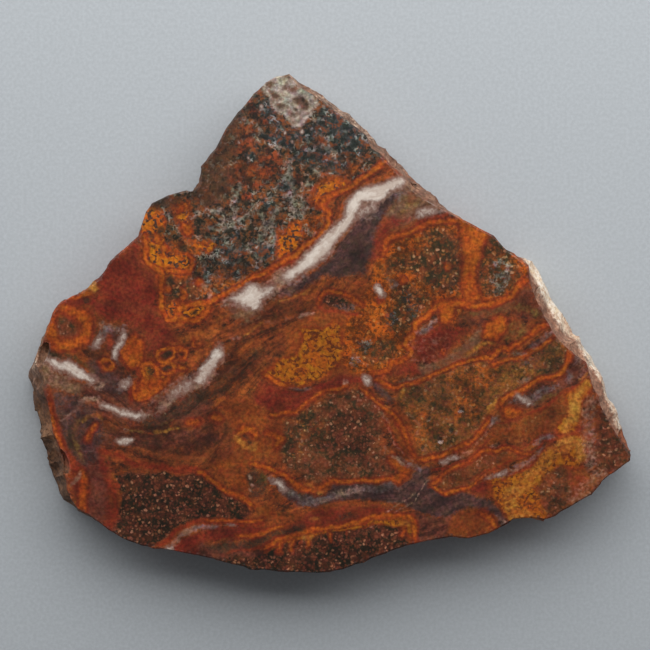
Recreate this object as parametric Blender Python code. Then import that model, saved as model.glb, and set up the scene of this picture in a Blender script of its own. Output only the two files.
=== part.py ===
"""A polished slab of ferruginous quartz, made as one closed solid.

The slab lies on its sawn underside with the polished face up. Both are flat and parallel. Between
them runs the broken wall: it leans outwards on the two right flanks and on the left flank, so that
it shows from above, and it falls away under the face along the lower and the upper left edges.
The outline is drawn in millimetres, +X to the right and +Y to the top of the polished face.
"""
import math
from typing import NamedTuple

import bmesh
import bpy
from mathutils import Matrix, Vector, noise

MM = 0.001

# Driving dimensions, in millimetres
THICKNESS = 9.0
PLAN_CENTRE = Vector((-0.3, 0.15))
ARRIS = 0.3
COLUMN_SPACING = 1.15

# Height shares of the rings between the sawn underside and the arris
WALL_LEVELS = (0.0, 0.1, 0.2, 0.31, 0.42, 0.53, 0.64, 0.75, 0.86)

# Broken relief of the wall, in millimetres
FACET_WIDTH = 5.0
FACET_SLOPE = 0.55
FACET_STEP = 1.2
SPLINTER_WIDTH = 2.4
SPLINTER_DEPTH = 0.6
LEVEL_WANDER = 0.8
OUTLINE_SLACK = 0.15
LEDGE_COUNT = 2
LEDGE_SHARPNESS = 0.85
LEDGE_WANDER = 11.0

STONE_COLOUR = (0.155, 0.042, 0.016, 1.0)
STONE_ROUGHNESS = 0.28


class Station(NamedTuple):
    """A place on the slab's widest outline, with the lean of the wall there."""

    x: float
    y: float
    face_inset: float
    rim_height: float
    base_inset: float


class Column(NamedTuple):
    """One upright line of the wall, with its outward direction."""

    place: Vector
    outward: Vector
    face_inset: float
    rim_height: float
    base_inset: float


class Chip(NamedTuple):
    """A shell-shaped bite out of an edge of the slab."""

    x: float
    y: float
    z: float
    reach: float
    depth: float
    turn: float


UPPER_RIGHT_FLANK = (
    Station(-6.2, 38.0, 0.4, 6.0, 0.9),
    Station(-4.1, 36.6, 0.9, 3.2, 0.5),
    Station(-2.0, 35.7, 1.1, 2.6, 0.4),
    Station(1.2, 33.3, 1.2, 2.4, 0.5),
    Station(5.0, 30.3, 1.3, 2.4, 0.5),
    Station(6.4, 29.1, 1.2, 2.6, 0.6),
    Station(7.6, 27.5, 1.6, 2.4, 0.5),
    Station(10.3, 24.9, 1.5, 2.4, 0.4),
    Station(13.4, 21.6, 1.7, 2.6, 0.5),
    Station(15.2, 20.0, 1.5, 2.8, 0.6),
    Station(17.7, 17.8, 0.8, 4.0, 0.7),
    Station(20.3, 15.8, 0.2, 7.6, 0.8),
    Station(23.5, 14.1, 0.2, 8.0, 1.1),
    Station(24.8, 13.4, 0.2, 8.0, 1.0),
    Station(26.6, 11.4, 0.2, 8.0, 0.9),
    Station(27.8, 10.9, 0.5, 6.4, 0.7),
)

RIGHT_FLANK = (
    Station(30.8, 9.8, 1.5, 3.0, 0.5),
    Station(31.7, 8.4, 2.1, 2.4, 0.4),
    Station(33.3, 5.2, 2.5, 2.2, 0.4),
    Station(34.8, 2.8, 2.9, 2.2, 0.5),
    Station(36.9, -0.3, 3.2, 2.0, 0.5),
    Station(38.0, -1.8, 2.8, 2.2, 0.4),
    Station(39.0, -3.5, 2.1, 2.6, 0.5),
    Station(40.0, -4.8, 1.6, 2.8, 0.6),
    Station(40.9, -6.9, 2.0, 2.4, 0.4),
    Station(43.1, -12.2, 2.1, 2.2, 0.4),
    Station(44.6, -15.7, 1.6, 2.6, 0.5),
    Station(45.3, -18.0, 0.9, 3.4, 0.6),
    Station(45.6, -19.7, 0.4, 5.6, 0.8),
    Station(45.2, -20.6, 0.2, 7.4, 0.9),
)

LOWER_EDGE = (
    Station(43.0, -22.4, 0.2, 8.0, 1.4),
    Station(41.4, -23.7, 0.3, 7.4, 1.6),
    Station(39.4, -25.8, 0.2, 8.0, 1.8),
    Station(36.8, -27.3, 0.2, 8.2, 1.9),
    Station(33.9, -28.9, 0.2, 8.0, 1.7),
    Station(32.2, -29.8, 0.3, 7.6, 1.5),
    Station(30.1, -29.3, 0.2, 8.0, 1.4),
    Station(27.6, -29.6, 0.2, 8.0, 1.6),
    Station(26.2, -30.7, 0.3, 7.6, 1.9),
    Station(23.5, -31.8, 0.2, 8.2, 2.0),
    Station(20.9, -32.5, 0.2, 8.0, 2.2),
    Station(18.2, -32.2, 0.2, 8.2, 1.9),
    Station(14.8, -32.8, 0.2, 8.0, 1.7),
    Station(11.5, -33.5, 0.2, 8.2, 1.5),
    Station(8.5, -34.6, 0.2, 8.0, 1.8),
    Station(5.0, -35.9, 0.2, 8.2, 2.1),
    Station(2.0, -37.2, 0.3, 7.8, 2.3),
    Station(-2.0, -37.7, 0.2, 8.0, 2.4),
    Station(-8.8, -37.3, 0.2, 8.2, 2.0),
    Station(-12.0, -36.9, 0.2, 8.0, 1.8),
    Station(-16.0, -36.0, 0.3, 7.8, 1.6),
    Station(-20.0, -35.0, 0.2, 8.2, 1.7),
    Station(-24.5, -34.2, 0.2, 8.0, 1.9),
    Station(-28.5, -33.5, 0.2, 8.2, 1.8),
    Station(-31.2, -32.4, 0.2, 8.0, 1.6),
    Station(-33.6, -31.0, 0.2, 8.2, 1.4),
    Station(-36.3, -29.0, 0.2, 8.0, 1.2),
    Station(-38.2, -28.2, 0.4, 7.0, 1.0),
)

LEFT_FLANK = (
    Station(-39.6, -27.3, 1.0, 4.6, 0.7),
    Station(-41.3, -25.9, 2.1, 2.8, 0.5),
    Station(-41.8, -24.3, 2.5, 2.4, 0.4),
    Station(-42.9, -21.4, 3.0, 2.2, 0.5),
    Station(-43.8, -18.3, 2.7, 2.4, 0.4),
    Station(-44.5, -15.4, 2.5, 2.2, 0.5),
    Station(-45.2, -12.2, 2.6, 2.6, 0.4),
    Station(-45.8, -9.0, 2.8, 2.4, 0.5),
    Station(-46.2, -7.9, 3.0, 2.8, 0.5),
    Station(-45.6, -6.5, 2.2, 3.0, 0.6),
    Station(-44.5, -4.2, 1.3, 4.0, 0.7),
    Station(-43.4, -1.9, 0.5, 6.2, 0.8),
)

UPPER_LEFT_EDGE = (
    Station(-41.9, 1.7, 0.2, 8.0, 1.2),
    Station(-41.0, 3.2, 0.2, 8.0, 1.4),
    Station(-38.9, 4.5, 0.2, 8.2, 1.6),
    Station(-37.2, 5.2, 0.3, 7.8, 1.5),
    Station(-34.8, 7.0, 0.2, 8.0, 1.7),
    Station(-33.2, 9.6, 0.2, 8.2, 1.5),
    Station(-30.3, 12.2, 0.2, 8.0, 1.3),
    Station(-29.1, 13.4, 0.3, 7.6, 1.4),
    Station(-27.9, 17.0, 0.2, 8.2, 1.6),
    Station(-27.0, 18.3, 0.2, 8.0, 1.8),
    Station(-24.5, 19.6, 0.2, 8.2, 1.6),
    Station(-22.5, 20.2, 0.3, 7.8, 1.3),
    Station(-20.8, 20.3, 0.2, 8.0, 1.1),
    Station(-20.0, 21.4, 0.2, 8.0, 1.0),
    Station(-19.6, 23.7, 0.2, 8.2, 1.3),
    Station(-17.4, 26.5, 0.2, 8.0, 1.6),
    Station(-15.9, 29.4, 0.2, 8.2, 1.7),
    Station(-14.0, 32.0, 0.2, 8.0, 1.5),
    Station(-10.9, 35.3, 0.2, 8.2, 1.3),
    Station(-9.9, 36.6, 0.3, 7.6, 1.1),
    Station(-8.2, 37.5, 0.3, 7.0, 1.0),
)

OUTLINE = UPPER_RIGHT_FLANK + RIGHT_FLANK + LOWER_EDGE + LEFT_FLANK + UPPER_LEFT_EDGE

CHIPS = (
    Chip(26.4, -30.9, 9.0, 1.9, 1.0, 0.67),
    Chip(31.6, -30.1, 9.0, 1.5, 1.0, -0.2),
    Chip(42.0, -23.7, 9.0, 1.7, 1.0, 0.68),
    Chip(-20.6, 21.1, 9.0, 1.4, 1.0, 0.95),
    Chip(-30.8, 12.4, 9.0, 1.3, 0.8, 0.7),
    Chip(35.7, -2.6, 9.0, 2.0, 0.8, -0.92),
    Chip(-43.2, -4.6, 9.0, 2.1, 0.8, 1.14),
    Chip(-40.0, -20.6, 9.0, 2.0, 0.8, 1.88),
    Chip(9.0, 25.0, 9.0, 1.7, 0.7, -0.8),
    Chip(-12.5, 34.3, 9.0, 1.2, 0.7, 0.8),
    Chip(2.6, -37.3, 9.0, 1.8, 0.9, 0.4),
    Chip(36.7, 0.5, 0.0, 2.9, 1.2, -0.97),
    Chip(-46.1, -10.6, 0.0, 2.6, 1.1, 1.75),
    Chip(4.2, 31.6, 0.0, 2.5, 1.1, -0.66),
)


def clear_scene() -> None:
    """Remove every object that the file holds."""
    for item in list(bpy.data.objects):
        bpy.data.objects.remove(item, do_unlink=True)


def new_collection(name: str) -> bpy.types.Collection:
    """Make a collection in the scene and return it."""
    collection = bpy.data.collections.new(name)
    bpy.context.scene.collection.children.link(collection)
    return collection


def stone_material() -> bpy.types.Material:
    """Make the red-brown of the polished stone."""
    material = bpy.data.materials.new("polished red-brown quartz")
    material.use_nodes = True
    shader = material.node_tree.nodes["Principled BSDF"]
    shader.inputs["Base Color"].default_value = STONE_COLOUR
    shader.inputs["Roughness"].default_value = STONE_ROUGHNESS
    shader.inputs["Metallic"].default_value = 0.0
    return material


def wall_columns() -> list[Column]:
    """Space columns along the outline, each leaning as the stations beside it do."""
    places = []
    leans = []
    for first, second in zip(OUTLINE, OUTLINE[1:] + OUTLINE[:1]):
        start = Vector((first.x, first.y)) - PLAN_CENTRE
        end = Vector((second.x, second.y)) - PLAN_CENTRE
        steps = max(1, round((end - start).length / COLUMN_SPACING))
        for step in range(steps):
            share = step / steps
            places.append(start.lerp(end, share))
            leans.append(Vector(first[2:]).lerp(Vector(second[2:]), share))
    count = len(places)
    columns = []
    for index, (place, lean) in enumerate(zip(places, leans)):
        along = Vector((0.0, 0.0))
        for reach in (1, 2):
            along += places[(index + reach) % count] - places[index - reach]
        outward = Vector((-along.y, along.x)).normalized()
        columns.append(Column(place, outward, lean.x, lean.y, lean.z))
    return columns


def wandering_height(place: Vector, height: float) -> float:
    """Shift a level line up or down at a place, between the two faces, so that it isn't straight."""
    fade = math.sin(math.pi * height / THICKNESS)
    return height + LEVEL_WANDER * fade * noise.noise(Vector((place.x, place.y, height)))


def lean_inset(column: Column, height: float) -> float:
    """Return how far inside the widest outline the wall stands at a height."""
    if height <= column.rim_height:
        return column.base_inset * (1.0 - height / column.rim_height)
    share = (height - column.rim_height) / (THICKNESS - column.rim_height)
    along = math.atan2(column.place.y, column.place.x)
    phase = LEDGE_WANDER * noise.noise(Vector((3.0 * math.cos(along), 3.0 * math.sin(along), 0.5)))
    turns = 2.0 * math.pi * LEDGE_COUNT
    wave = math.sin(turns * share + phase) - math.sin(phase)
    fade = 1.0 - share
    return column.face_inset * (share + LEDGE_SHARPNESS * fade * wave / turns)


def facet_relief(spot: Vector) -> float:
    """Return how far the flat facets and splinters of the broken stone stand out at a spot."""
    scaled = spot / FACET_WIDTH
    centre = noise.voronoi(scaled)[1][0]
    tilt = noise.noise_vector(centre * 3.7)
    step = noise.noise(centre * 5.3)
    splinter = noise.noise(spot / SPLINTER_WIDTH)
    slope = FACET_SLOPE * FACET_WIDTH * (scaled - centre).dot(tilt)
    return slope + FACET_STEP * step + SPLINTER_DEPTH * splinter


def broken_relief(column: Column, height: float) -> float:
    """Return the relief of a column at a height, which fades out at both faces and at the rim."""
    place = column.place
    fade = math.sqrt(max(0.0, math.sin(math.pi * height / THICKNESS)))
    here = facet_relief(Vector((place.x, place.y, height)))
    at_rim = facet_relief(Vector((place.x, place.y, column.rim_height)))
    return fade * (here - at_rim)


def wall_ring(columns: list[Column], level: float, extra_inset: float) -> list[Vector]:
    """Return the points of one level line of the wall, in metres."""
    ring = []
    for column in columns:
        height = wandering_height(column.place, level) if extra_inset == 0.0 else level
        inset = lean_inset(column, height) + extra_inset
        reach = min(OUTLINE_SLACK, broken_relief(column, height) - inset)
        spot = column.place + reach * column.outward
        ring.append(Vector((spot.x, spot.y, height)) * MM)
    return ring


def slab_mesh() -> bpy.types.Mesh:
    """Loft the wall's level lines into a slab that is closed by its two flat faces."""
    columns = wall_columns()
    levels = [(share * THICKNESS, 0.0) for share in WALL_LEVELS]
    levels.append((THICKNESS - ARRIS, 0.0))
    levels.append((THICKNESS - 0.3 * ARRIS, 0.3 * ARRIS))
    levels.append((THICKNESS, ARRIS))
    shape = bmesh.new()
    rings = []
    for level, extra_inset in levels:
        rings.append([shape.verts.new(point) for point in wall_ring(columns, level, extra_inset)])
    for lower, upper in zip(rings, rings[1:]):
        for index, vertex in enumerate(lower):
            following = (index + 1) % len(lower)
            shape.faces.new((vertex, lower[following], upper[following], upper[index]))
    shape.faces.new(rings[0])
    shape.faces.new(rings[-1])
    bmesh.ops.recalc_face_normals(shape, faces=shape.faces)
    mesh = bpy.data.meshes.new("ferruginous_quartz")
    shape.to_mesh(mesh)
    shape.free()
    return mesh


def chip_cutter(chip: Chip, index: int, collection: bpy.types.Collection) -> bpy.types.Object:
    """Make the flattened ball that takes one shell-shaped chip out of an edge."""
    shape = bmesh.new()
    bmesh.ops.create_icosphere(shape, subdivisions=2, radius=chip.reach * MM)
    flatten = Matrix.Diagonal((1.0, chip.depth / chip.reach, 0.8, 1.0))
    bmesh.ops.transform(shape, matrix=Matrix.Rotation(chip.turn, 4, "Z") @ flatten, verts=shape.verts)
    mesh = bpy.data.meshes.new(f"chip_cutter_{index}")
    shape.to_mesh(mesh)
    shape.free()
    cutter = bpy.data.objects.new(f"chip_cutter_{index}", mesh)
    place = Vector((chip.x, chip.y)) - PLAN_CENTRE
    cutter.location = Vector((place.x, place.y, chip.z)) * MM
    cutter.hide_render = True
    cutter.display_type = "WIRE"
    collection.objects.link(cutter)
    return cutter


def build_slab() -> bpy.types.Object:
    """Build the slab, with its chipped edges and its material."""
    parts = new_collection("ferruginous quartz")
    cutters = new_collection("cutters")
    slab = bpy.data.objects.new("ferruginous_quartz", slab_mesh())
    slab.data.materials.append(stone_material())
    parts.objects.link(slab)
    for index, chip in enumerate(CHIPS):
        bite = slab.modifiers.new(f"chip {index}", "BOOLEAN")
        bite.operation = "DIFFERENCE"
        bite.solver = "EXACT"
        bite.object = chip_cutter(chip, index, cutters)
    return slab


clear_scene()
build_slab()
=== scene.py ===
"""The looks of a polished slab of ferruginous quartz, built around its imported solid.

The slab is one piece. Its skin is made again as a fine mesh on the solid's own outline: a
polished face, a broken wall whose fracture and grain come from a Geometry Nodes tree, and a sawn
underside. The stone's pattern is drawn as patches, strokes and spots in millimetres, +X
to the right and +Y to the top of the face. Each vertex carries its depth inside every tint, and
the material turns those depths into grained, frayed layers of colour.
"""
import logging
import math
from dataclasses import dataclass, field
from enum import Enum
from typing import Any, Iterable

import bmesh
import bpy
import numpy as np
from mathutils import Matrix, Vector, noise
from mathutils.geometry import delaunay_2d_cdt

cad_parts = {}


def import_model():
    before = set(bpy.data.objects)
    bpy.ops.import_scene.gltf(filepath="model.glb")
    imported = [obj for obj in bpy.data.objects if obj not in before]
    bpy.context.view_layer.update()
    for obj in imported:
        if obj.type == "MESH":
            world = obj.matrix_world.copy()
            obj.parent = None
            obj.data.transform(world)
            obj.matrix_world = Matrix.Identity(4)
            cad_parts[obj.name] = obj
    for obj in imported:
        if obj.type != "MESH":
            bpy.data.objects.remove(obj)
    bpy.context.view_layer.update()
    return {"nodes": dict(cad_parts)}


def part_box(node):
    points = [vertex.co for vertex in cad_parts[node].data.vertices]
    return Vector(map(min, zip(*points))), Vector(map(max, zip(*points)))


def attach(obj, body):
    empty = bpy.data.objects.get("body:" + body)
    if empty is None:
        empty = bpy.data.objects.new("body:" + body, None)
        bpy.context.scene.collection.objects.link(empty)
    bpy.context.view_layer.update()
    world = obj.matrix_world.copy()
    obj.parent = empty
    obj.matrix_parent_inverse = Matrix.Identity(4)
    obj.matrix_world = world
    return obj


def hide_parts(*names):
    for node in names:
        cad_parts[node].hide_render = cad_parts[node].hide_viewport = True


log = logging.getLogger("ferruginous_quartz")

MM = 0.001
NODE = "ferruginous_quartz"

# The noise of mathutils starts from the clock unless it is told a seed.
NOISE_SEED = 1

# Where the drawing's origin lies on the slab, in millimetres.
DRAWING_SHIFT = (0.3, -0.15)

# How far beyond its line a mark can tint: so many widths of its soft edge, and a little more.
REACH_IN_SOFTS = 3.0
REACH_SPARE = 0.1

# Places and heights closer than this are the same, in metres, and a normal steeper is level.
SAME_PLACE = 1e-7
SAME_HEIGHT = 1e-6
LEVEL_NORMAL = 0.99

# A distance beyond everything, and the least square of a leg's length, in millimetres.
FAR = 1e9
LEAST_SQUARE = 1e-12

# A route is the x and y of one point after the other.
Route = tuple[float, ...]
Leg = tuple[np.ndarray, np.ndarray]
Pair = tuple[float, float]
Triple = tuple[float, float, float]
Colour = tuple[float, float, float, float]


def srgb(red: int, green: int, blue: int) -> Colour:
    """Turn a colour as a screen shows it into the linear colour that a shader takes."""
    shares = (value / 255.0 for value in (red, green, blue))
    linear = [s / 12.92 if s <= 0.04045 else ((s + 0.055) / 1.055) ** 2.4 for s in shares]
    return (*linear, 1.0)


class Tint(Enum):
    """A colour laid on the stone; the shade tint is painted shade, not a colour of the stone. The value names
    the vertex attribute that holds its depth.
    """

    AMBER = "amber"
    UMBER = "umber"
    TAN = "tan"
    CRIMSON = "crimson"
    PLUM = "plum"
    GOLD = "gold"
    LOAM = "loam"
    EMBER = "ember"
    GRAVEL = "gravel"
    GRIT = "grit"
    LOBE = "lobe"
    NET = "net"
    SLATE = "slate"
    BRICK = "brick"
    BONE = "bone"
    RUSSET = "russet"
    CINDER = "cinder"
    CHAR = "char"
    # Painted shade laid on the walls, darkest just under the arris; not a colour of the stone.
    PAINTED_SHADE = "shade"
    DUSK = "dusk"
    SCARLET = "scarlet"
    ORANGE = "orange"
    OCHRE = "ochre"
    OLIVE = "olive"
    PITCH = "pitch"
    LILAC = "lilac"
    BLUSH = "blush"
    MILK = "milk"
    CREAM = "cream"
    ROSE = "rose"
    BARK = "bark"


def measured(spots: np.ndarray, legs: Iterable[Leg]) -> tuple[np.ndarray, np.ndarray]:
    """Measure spots against the legs of a line.

    Args:
        spots: The places asked about, one row of x and y each.
        legs: The start and the end of each leg.

    Returns:
        For each spot, whether the legs close around it, and its distance to the nearest leg.
    """
    inside = np.zeros(len(spots), bool)
    nearest = np.full(len(spots), FAR)
    for start, end in legs:
        along = end - start
        share = np.clip((spots - start) @ along / max(along @ along, LEAST_SQUARE), 0.0, 1.0)
        gap = spots - start - share[:, None] * along
        nearest = np.minimum(nearest, np.einsum("ij,ij->i", gap, gap))
        if start[1] != end[1]:
            crosses = (start[1] > spots[:, 1]) != (end[1] > spots[:, 1])
            inside ^= crosses & (spots[:, 0] < start[0] + (spots[:, 1] - start[1]) * along[0] / along[1])
    return inside, np.sqrt(nearest)


@dataclass(frozen=True)
class Mark:
    """Something drawn on the stone in one tint, with the width of its soft edge and its strength."""

    tint: Tint
    route: Route
    soft: float = 0.2
    hold: float = 1.0

    def depth(self, spots: np.ndarray) -> np.ndarray:
        """Return how deep inside the mark each spot lies, in millimetres, negative outside.

        Args:
            spots: The places asked about, one row of x and y each.

        Returns:
            One depth for each spot.
        """
        raise NotImplementedError

    def reach(self) -> float:
        """Return how far beyond its route the mark can tint anything."""
        return REACH_IN_SOFTS * self.soft + REACH_SPARE

    def corners(self) -> np.ndarray:
        """Return the points of the route, one row of x and y each."""
        return np.array(self.route, float).reshape(-1, 2)

    def legs(self) -> Iterable[Leg]:
        """Return the start and the end of each leg of the route."""
        corners = self.corners()
        return zip(corners[:-1], corners[1:])

    def nearest(self, spots: np.ndarray) -> np.ndarray:
        """Return each spot's distance to the route."""
        return measured(spots, self.legs())[1]


@dataclass(frozen=True)
class Patch(Mark):
    """A closed area."""

    def legs(self) -> Iterable[Leg]:
        """Return the legs of the edge, with the one that closes it."""
        corners = self.corners()
        return zip(corners, np.roll(corners, -1, axis=0))

    def depth(self, spots: np.ndarray) -> np.ndarray:
        """Return the distance to the edge, positive inside and negative outside."""
        inside, distance = measured(spots, self.legs())
        return np.where(inside, 1.0, -1.0) * distance


@dataclass(frozen=True)
class Stroke(Mark):
    """A line of one width that tapers at both ends."""

    width: float = 0.5
    taper: float = 0.8
    tip_lead: float = 0.25
    tip_width: float = 0.3

    def reach(self) -> float:
        """Return how far beyond its route the stroke can tint anything."""
        return super().reach() + self.width / 2.0

    def depth(self, spots: np.ndarray) -> np.ndarray:
        """Return half of the width less the distance to the line."""
        ends = self.corners()[[0, -1]]
        to_end = np.min(np.linalg.norm(spots[:, None, :] - ends[None], axis=2), axis=1)
        share = np.clip((to_end + self.tip_lead * self.taper) / self.taper, self.tip_width, 1.0)
        return 0.5 * self.width * share - self.nearest(spots)


@dataclass(frozen=True)
class Spots(Mark):
    """Round spots of one size, one at each point of the route."""

    radius: float = 0.35

    def reach(self) -> float:
        """Return how far beyond its centre a spot can tint anything."""
        return super().reach() + self.radius

    def depth(self, spots: np.ndarray) -> np.ndarray:
        """Return the radius less the distance to the nearest centre."""
        best = np.full(len(spots), FAR)
        for centre in self.corners():
            best = np.minimum(best, np.linalg.norm(spots - centre, axis=1))
        return self.radius - best


T = Tint

SOFT_ZONES: tuple[Mark, ...] = (
    Patch(T.AMBER, (-42.5, 2.3, -39, 4.4, -36, 3, -36, -3.5, -39, -4.4, -42.8, -3.2), 0.6),
    Patch(T.AMBER, (-13, -11, -9, -13.5, -6.8, -15, -6.6, -20, -12, -21.3, -12.8, -26, -5, -29, -9, -30.2,
        -14, -25.5, -19, -21.5, -15, -18, -16, -13), 1.0),
    Patch(T.AMBER, (-6.5, -1, -4, 1.2, -1, 1.8, 2.5, 1, 4, 5.5, 7, 7.5, 8, 3, 9, -3, 8, -7, 4, -8, 1, -7.8,
        -4, -9, -9.8, -8, -7, -4.5), 0.9),
    Patch(T.AMBER, (25.5, -12.5, 30, -13.2, 34, -11.5, 37, -9.9, 37.5, -11, 36, -14.3, 34, -15.5, 30, -16.8,
        26, -17.5, 22, -19.2, 17, -20.5, 21, -18.5, 24.5, -16.2), 0.7),
    Patch(T.AMBER, (9.5, -12.2, 12.5, -15, 14, -20, 11.5, -22.5, 10.5, -19, 9, -15.5), 0.9),
    Patch(T.AMBER, (16, -24.2, 19, -21.5, 24, -19.4, 30, -19.3, 27, -21, 22, -22.6, 19, -24.8), 0.5),
    Patch(T.AMBER, (-11, -28.5, -5, -28.2, 1, -26.8, 6, -27, 7.5, -28.5, 2, -29.5, -5, -31, -12, -32.4,
        -14, -31.2), 0.8, 0.6),
    Patch(T.AMBER, (17.5, -31.5, 18, -29.5, 19.5, -28, 21.5, -27.5, 23.5, -28.5, 25, -30.5, 24, -31.5,
        22, -32.4, 20, -32.2), 0.5),
    Patch(T.UMBER, (-27, -5, -20, -10, -17, -5, -12, -1.5, -6, 1.3, -3.5, 3, -8, 4.6, -11.5, 1.5, -15, -1,
        -14, -5, -10, -4, -8, -1, -7, -4, -11, -7.5, -16, -10.5, -22, -12), 1.0),
    Patch(T.UMBER, (-35, -14.5, -30, -15.5, -24, -13, -18, -12, -14, -16, -14.6, -20, -18, -21, -24, -20.4,
        -29, -19.3, -34, -18), 1.0, 0.9),
    Patch(T.PLUM, (-33.6, -16.4, -29, -16.2, -24, -16.6, -18.6, -15.6, -16.6, -17.4, -22, -18.6, -28, -18.4,
        -33, -18.4), 0.8, 0.7),
    Patch(T.UMBER, (-31, 0, -27, -1, -24, -4, -26, -5, -30, -3, -34, -3.5, -33, -8, -36, -8, -36, -2), 0.8),
    Patch(T.TAN, (-45.5, -5, -43, -6, -40, -7.5, -37.5, -9, -36, -9.5, -37.5, -10.5, -39.5, -9.8, -42, -9.5,
        -42.5, -11, -43.5, -12, -45.5, -11), 0.6),
    Patch(T.TAN, (9, 14, 12, 15.6, 17, 17.3, 15, 20, 12, 22.5, 10, 20.5, 8.5, 17), 0.9, 0.8),
    Patch(T.TAN, (18.5, -4, 22.5, -1, 22.5, -3, 20.5, -4.2), 0.6, 0.9),
    Patch(T.TAN, (14, -7.6, 17, -6.4, 20, -5, 22, -4.2, 20, -3.8, 16, -5.4, 13, -6.7), 0.5, 0.7),
    Patch(T.TAN, (-15.8, 2.6, -14, 0.8, -12.5, 0.3, -10.8, 1.3, -9.8, 2.6, -12.5, 3), 0.7, 0.9),
    Patch(T.TAN, (10.5, -8.6, 12, -8, 14, -7.5, 13, -8.8), 0.4, 0.8),
    Patch(T.CRIMSON, (-34.5, 7.5, -30, 12, -28.5, 13.5, -28, 9, -26, 7.5, -26, 2, -24, -0.5, -23, -2.5,
        -27, -4, -28, -1, -31, 0.3, -35, 1, -36, 3, -34.8, 5), 0.9),
    Patch(T.CRIMSON, (-38.5, -17, -34.5, -18.2, -32.3, -23, -33.2, -26, -32.3, -29.5, -33.6, -31.5,
        -37.5, -28.8, -39, -24), 0.8, 0.9),
    Patch(T.CRIMSON, (-26, -34.6, -22, -32.2, -18, -31, -12, -30.2, -8, -30.8, -12, -33, -18, -32.4,
        -20, -35.5), 0.5),
    Patch(T.CRIMSON, (-10.5, -8.8, -8, -9.5, -5.5, -10.2, -3, -9.9, 0, -8.4, 2, -7.6, 5.5, -7.8, 5.5, -8.9,
        1, -9.4, -1, -10.1, -3.5, -11.7, -6, -12.8, -9, -12.9, -11.5, -11.5), 0.5),
    Patch(T.CRIMSON, (13, -1.8, 15.5, -0.5, 20, -0.8, 18.8, -3, 17, -5.2, 13, -5.8, 10.5, -6.6, 9.5, -7.5,
        13.5, -7.3, 12.5, -4), 0.6),
    Patch(T.CRIMSON, (-3, -28.3, 2, -27.2, 7, -27.5, 9, -28, 4, -29.4, -2, -30.4, -8, -31.8), 0.6, 0.8),
    Patch(T.CRIMSON, (20.5, -24.6, 23, -23.6, 26, -23.3, 24.2, -24.8, 23, -26), 0.5),
    Patch(T.CRIMSON, (6.3, 12.5, 7, 15, 9, 15.8, 12, 16, 8.5, 13.4, 6.5, 9.5, 5.5, 10), 0.6, 0.8),
    Patch(T.DUSK, (-41.6, -10, -38, -10.6, -36, -12.4, -34.6, -14.6, -33.6, -17.4, -34.8, -19.6, -37, -21.4,
        -38.8, -19.6, -40.2, -16, -41.4, -13), 0.8, 0.8),
    Stroke(T.TAN, (-41.2, -11, -40, -13.6, -38.8, -16.4), 0.5, 0.7, 0.8),
    Stroke(T.UMBER, (-38.8, -11.6, -36.6, -14.6, -35.4, -18), 0.5, 0.8, 0.8),
    Patch(T.PLUM, (-37.5, -9.6, -31.5, -6, -29.5, -9, -27.5, -12.2, -24, -9.8, -20, -10.8, -17.5, -12,
        -20, -14.5, -26, -14.8, -31, -15, -35.5, -13.4), 0.9, 0.9),
    Patch(T.PLUM, (19.5, 1.6, 19.5, -0.2, 23, -0.4, 24.2, 2, 27, 1.8, 29.5, 0.6, 32.3, 0.6, 31.8, 3,
        29.6, 5.6, 28, 3.9, 24.5, 2.6), 0.6, 0.6),
    Patch(T.PLUM, (36.2, -3.6, 37.8, -4.6, 39, -7.2, 38.2, -8.6, 36, -9.6, 34, -9, 35.6, -7.6, 36.3, -6),
        0.5),
    Patch(T.PLUM, (26.3, -12.1, 29, -10.4, 32, -9.3, 35, -8.2, 35.8, -9.4, 33, -11, 30.5, -12.8,
        28.5, -12.4), 0.4, 0.9),
    Stroke(T.PLUM, (-36.2, -19.4, -35.4, -22, -35, -25, -35.2, -28.4), 0.7, 0.8, 2.4),
    Patch(T.UMBER, (13, -29, 17, -29, 17, -32, 13, -32), 0.8, 0.35),
    Patch(T.UMBER, (18.5, -29, 22, -28.5, 23, -31, 19, -31.5), 0.8, 0.3),
    Patch(T.PLUM, (12.6, -28.4, 18, -29, 17.6, -32.6, 12.8, -33), 0.6),
    Patch(T.PLUM, (-19.5, -32.8, -14, -33.2, -9.5, -33.8, -10, -35.5, -20, -35.6), 0.6),
    Patch(T.PLUM, (39.6, -12, 41, -16, 40.5, -19, 40.5, -22, 38.6, -22, 38.4, -18, 38.6, -14), 0.7, 0.4),
    Patch(T.DUSK, (-1, 7.2, 3, 7, 5.2, 7.8, 6.2, 10, 6.8, 13.5, 8.6, 16.8, 10.5, 19.8, 8.5, 20.6, 5.5, 18.4,
        3.3, 14.8, 1, 11.6, -0.5, 9.6, -4, 6.6, -8, 5.2, -9, 4, -6, 4.4, -3.5, 5.6), 0.5),
    Patch(T.PITCH, (1.2, 7.8, 3.8, 7.6, 5.2, 10, 5.4, 13.2, 3.4, 13, 1.8, 10.4), 0.9, 0.35),
    Stroke(T.BLUSH, (-10, 3.2, -6, 5, -3.4, 6.8), 0.4, 0.2, 0.3),
    Patch(T.DUSK, (7.5, -23.8, 10, -24.2, 12, -23.2, 13, -21.6, 15, -21.4, 14.6, -23, 15.5, -24.8,
        18, -25.6, 20.5, -25.4, 23, -26, 25, -27.5, 26.6, -29.2, 26.6, -30.6, 25, -28.8, 23.3, -27.5,
        21, -27.2, 19.2, -28.2, 17.5, -29, 14, -28.4, 12.4, -28, 11.5, -26.8, 7.5, -26.6, 3.5, -26.2,
        0.5, -26.6, -2.5, -27.4, -4.8, -27.2, -7, -26, -9.3, -23.6, -7.8, -23, -4, -25.8, -1.5, -26,
        0.5, -24, 4, -24), 0.35),
)

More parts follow.
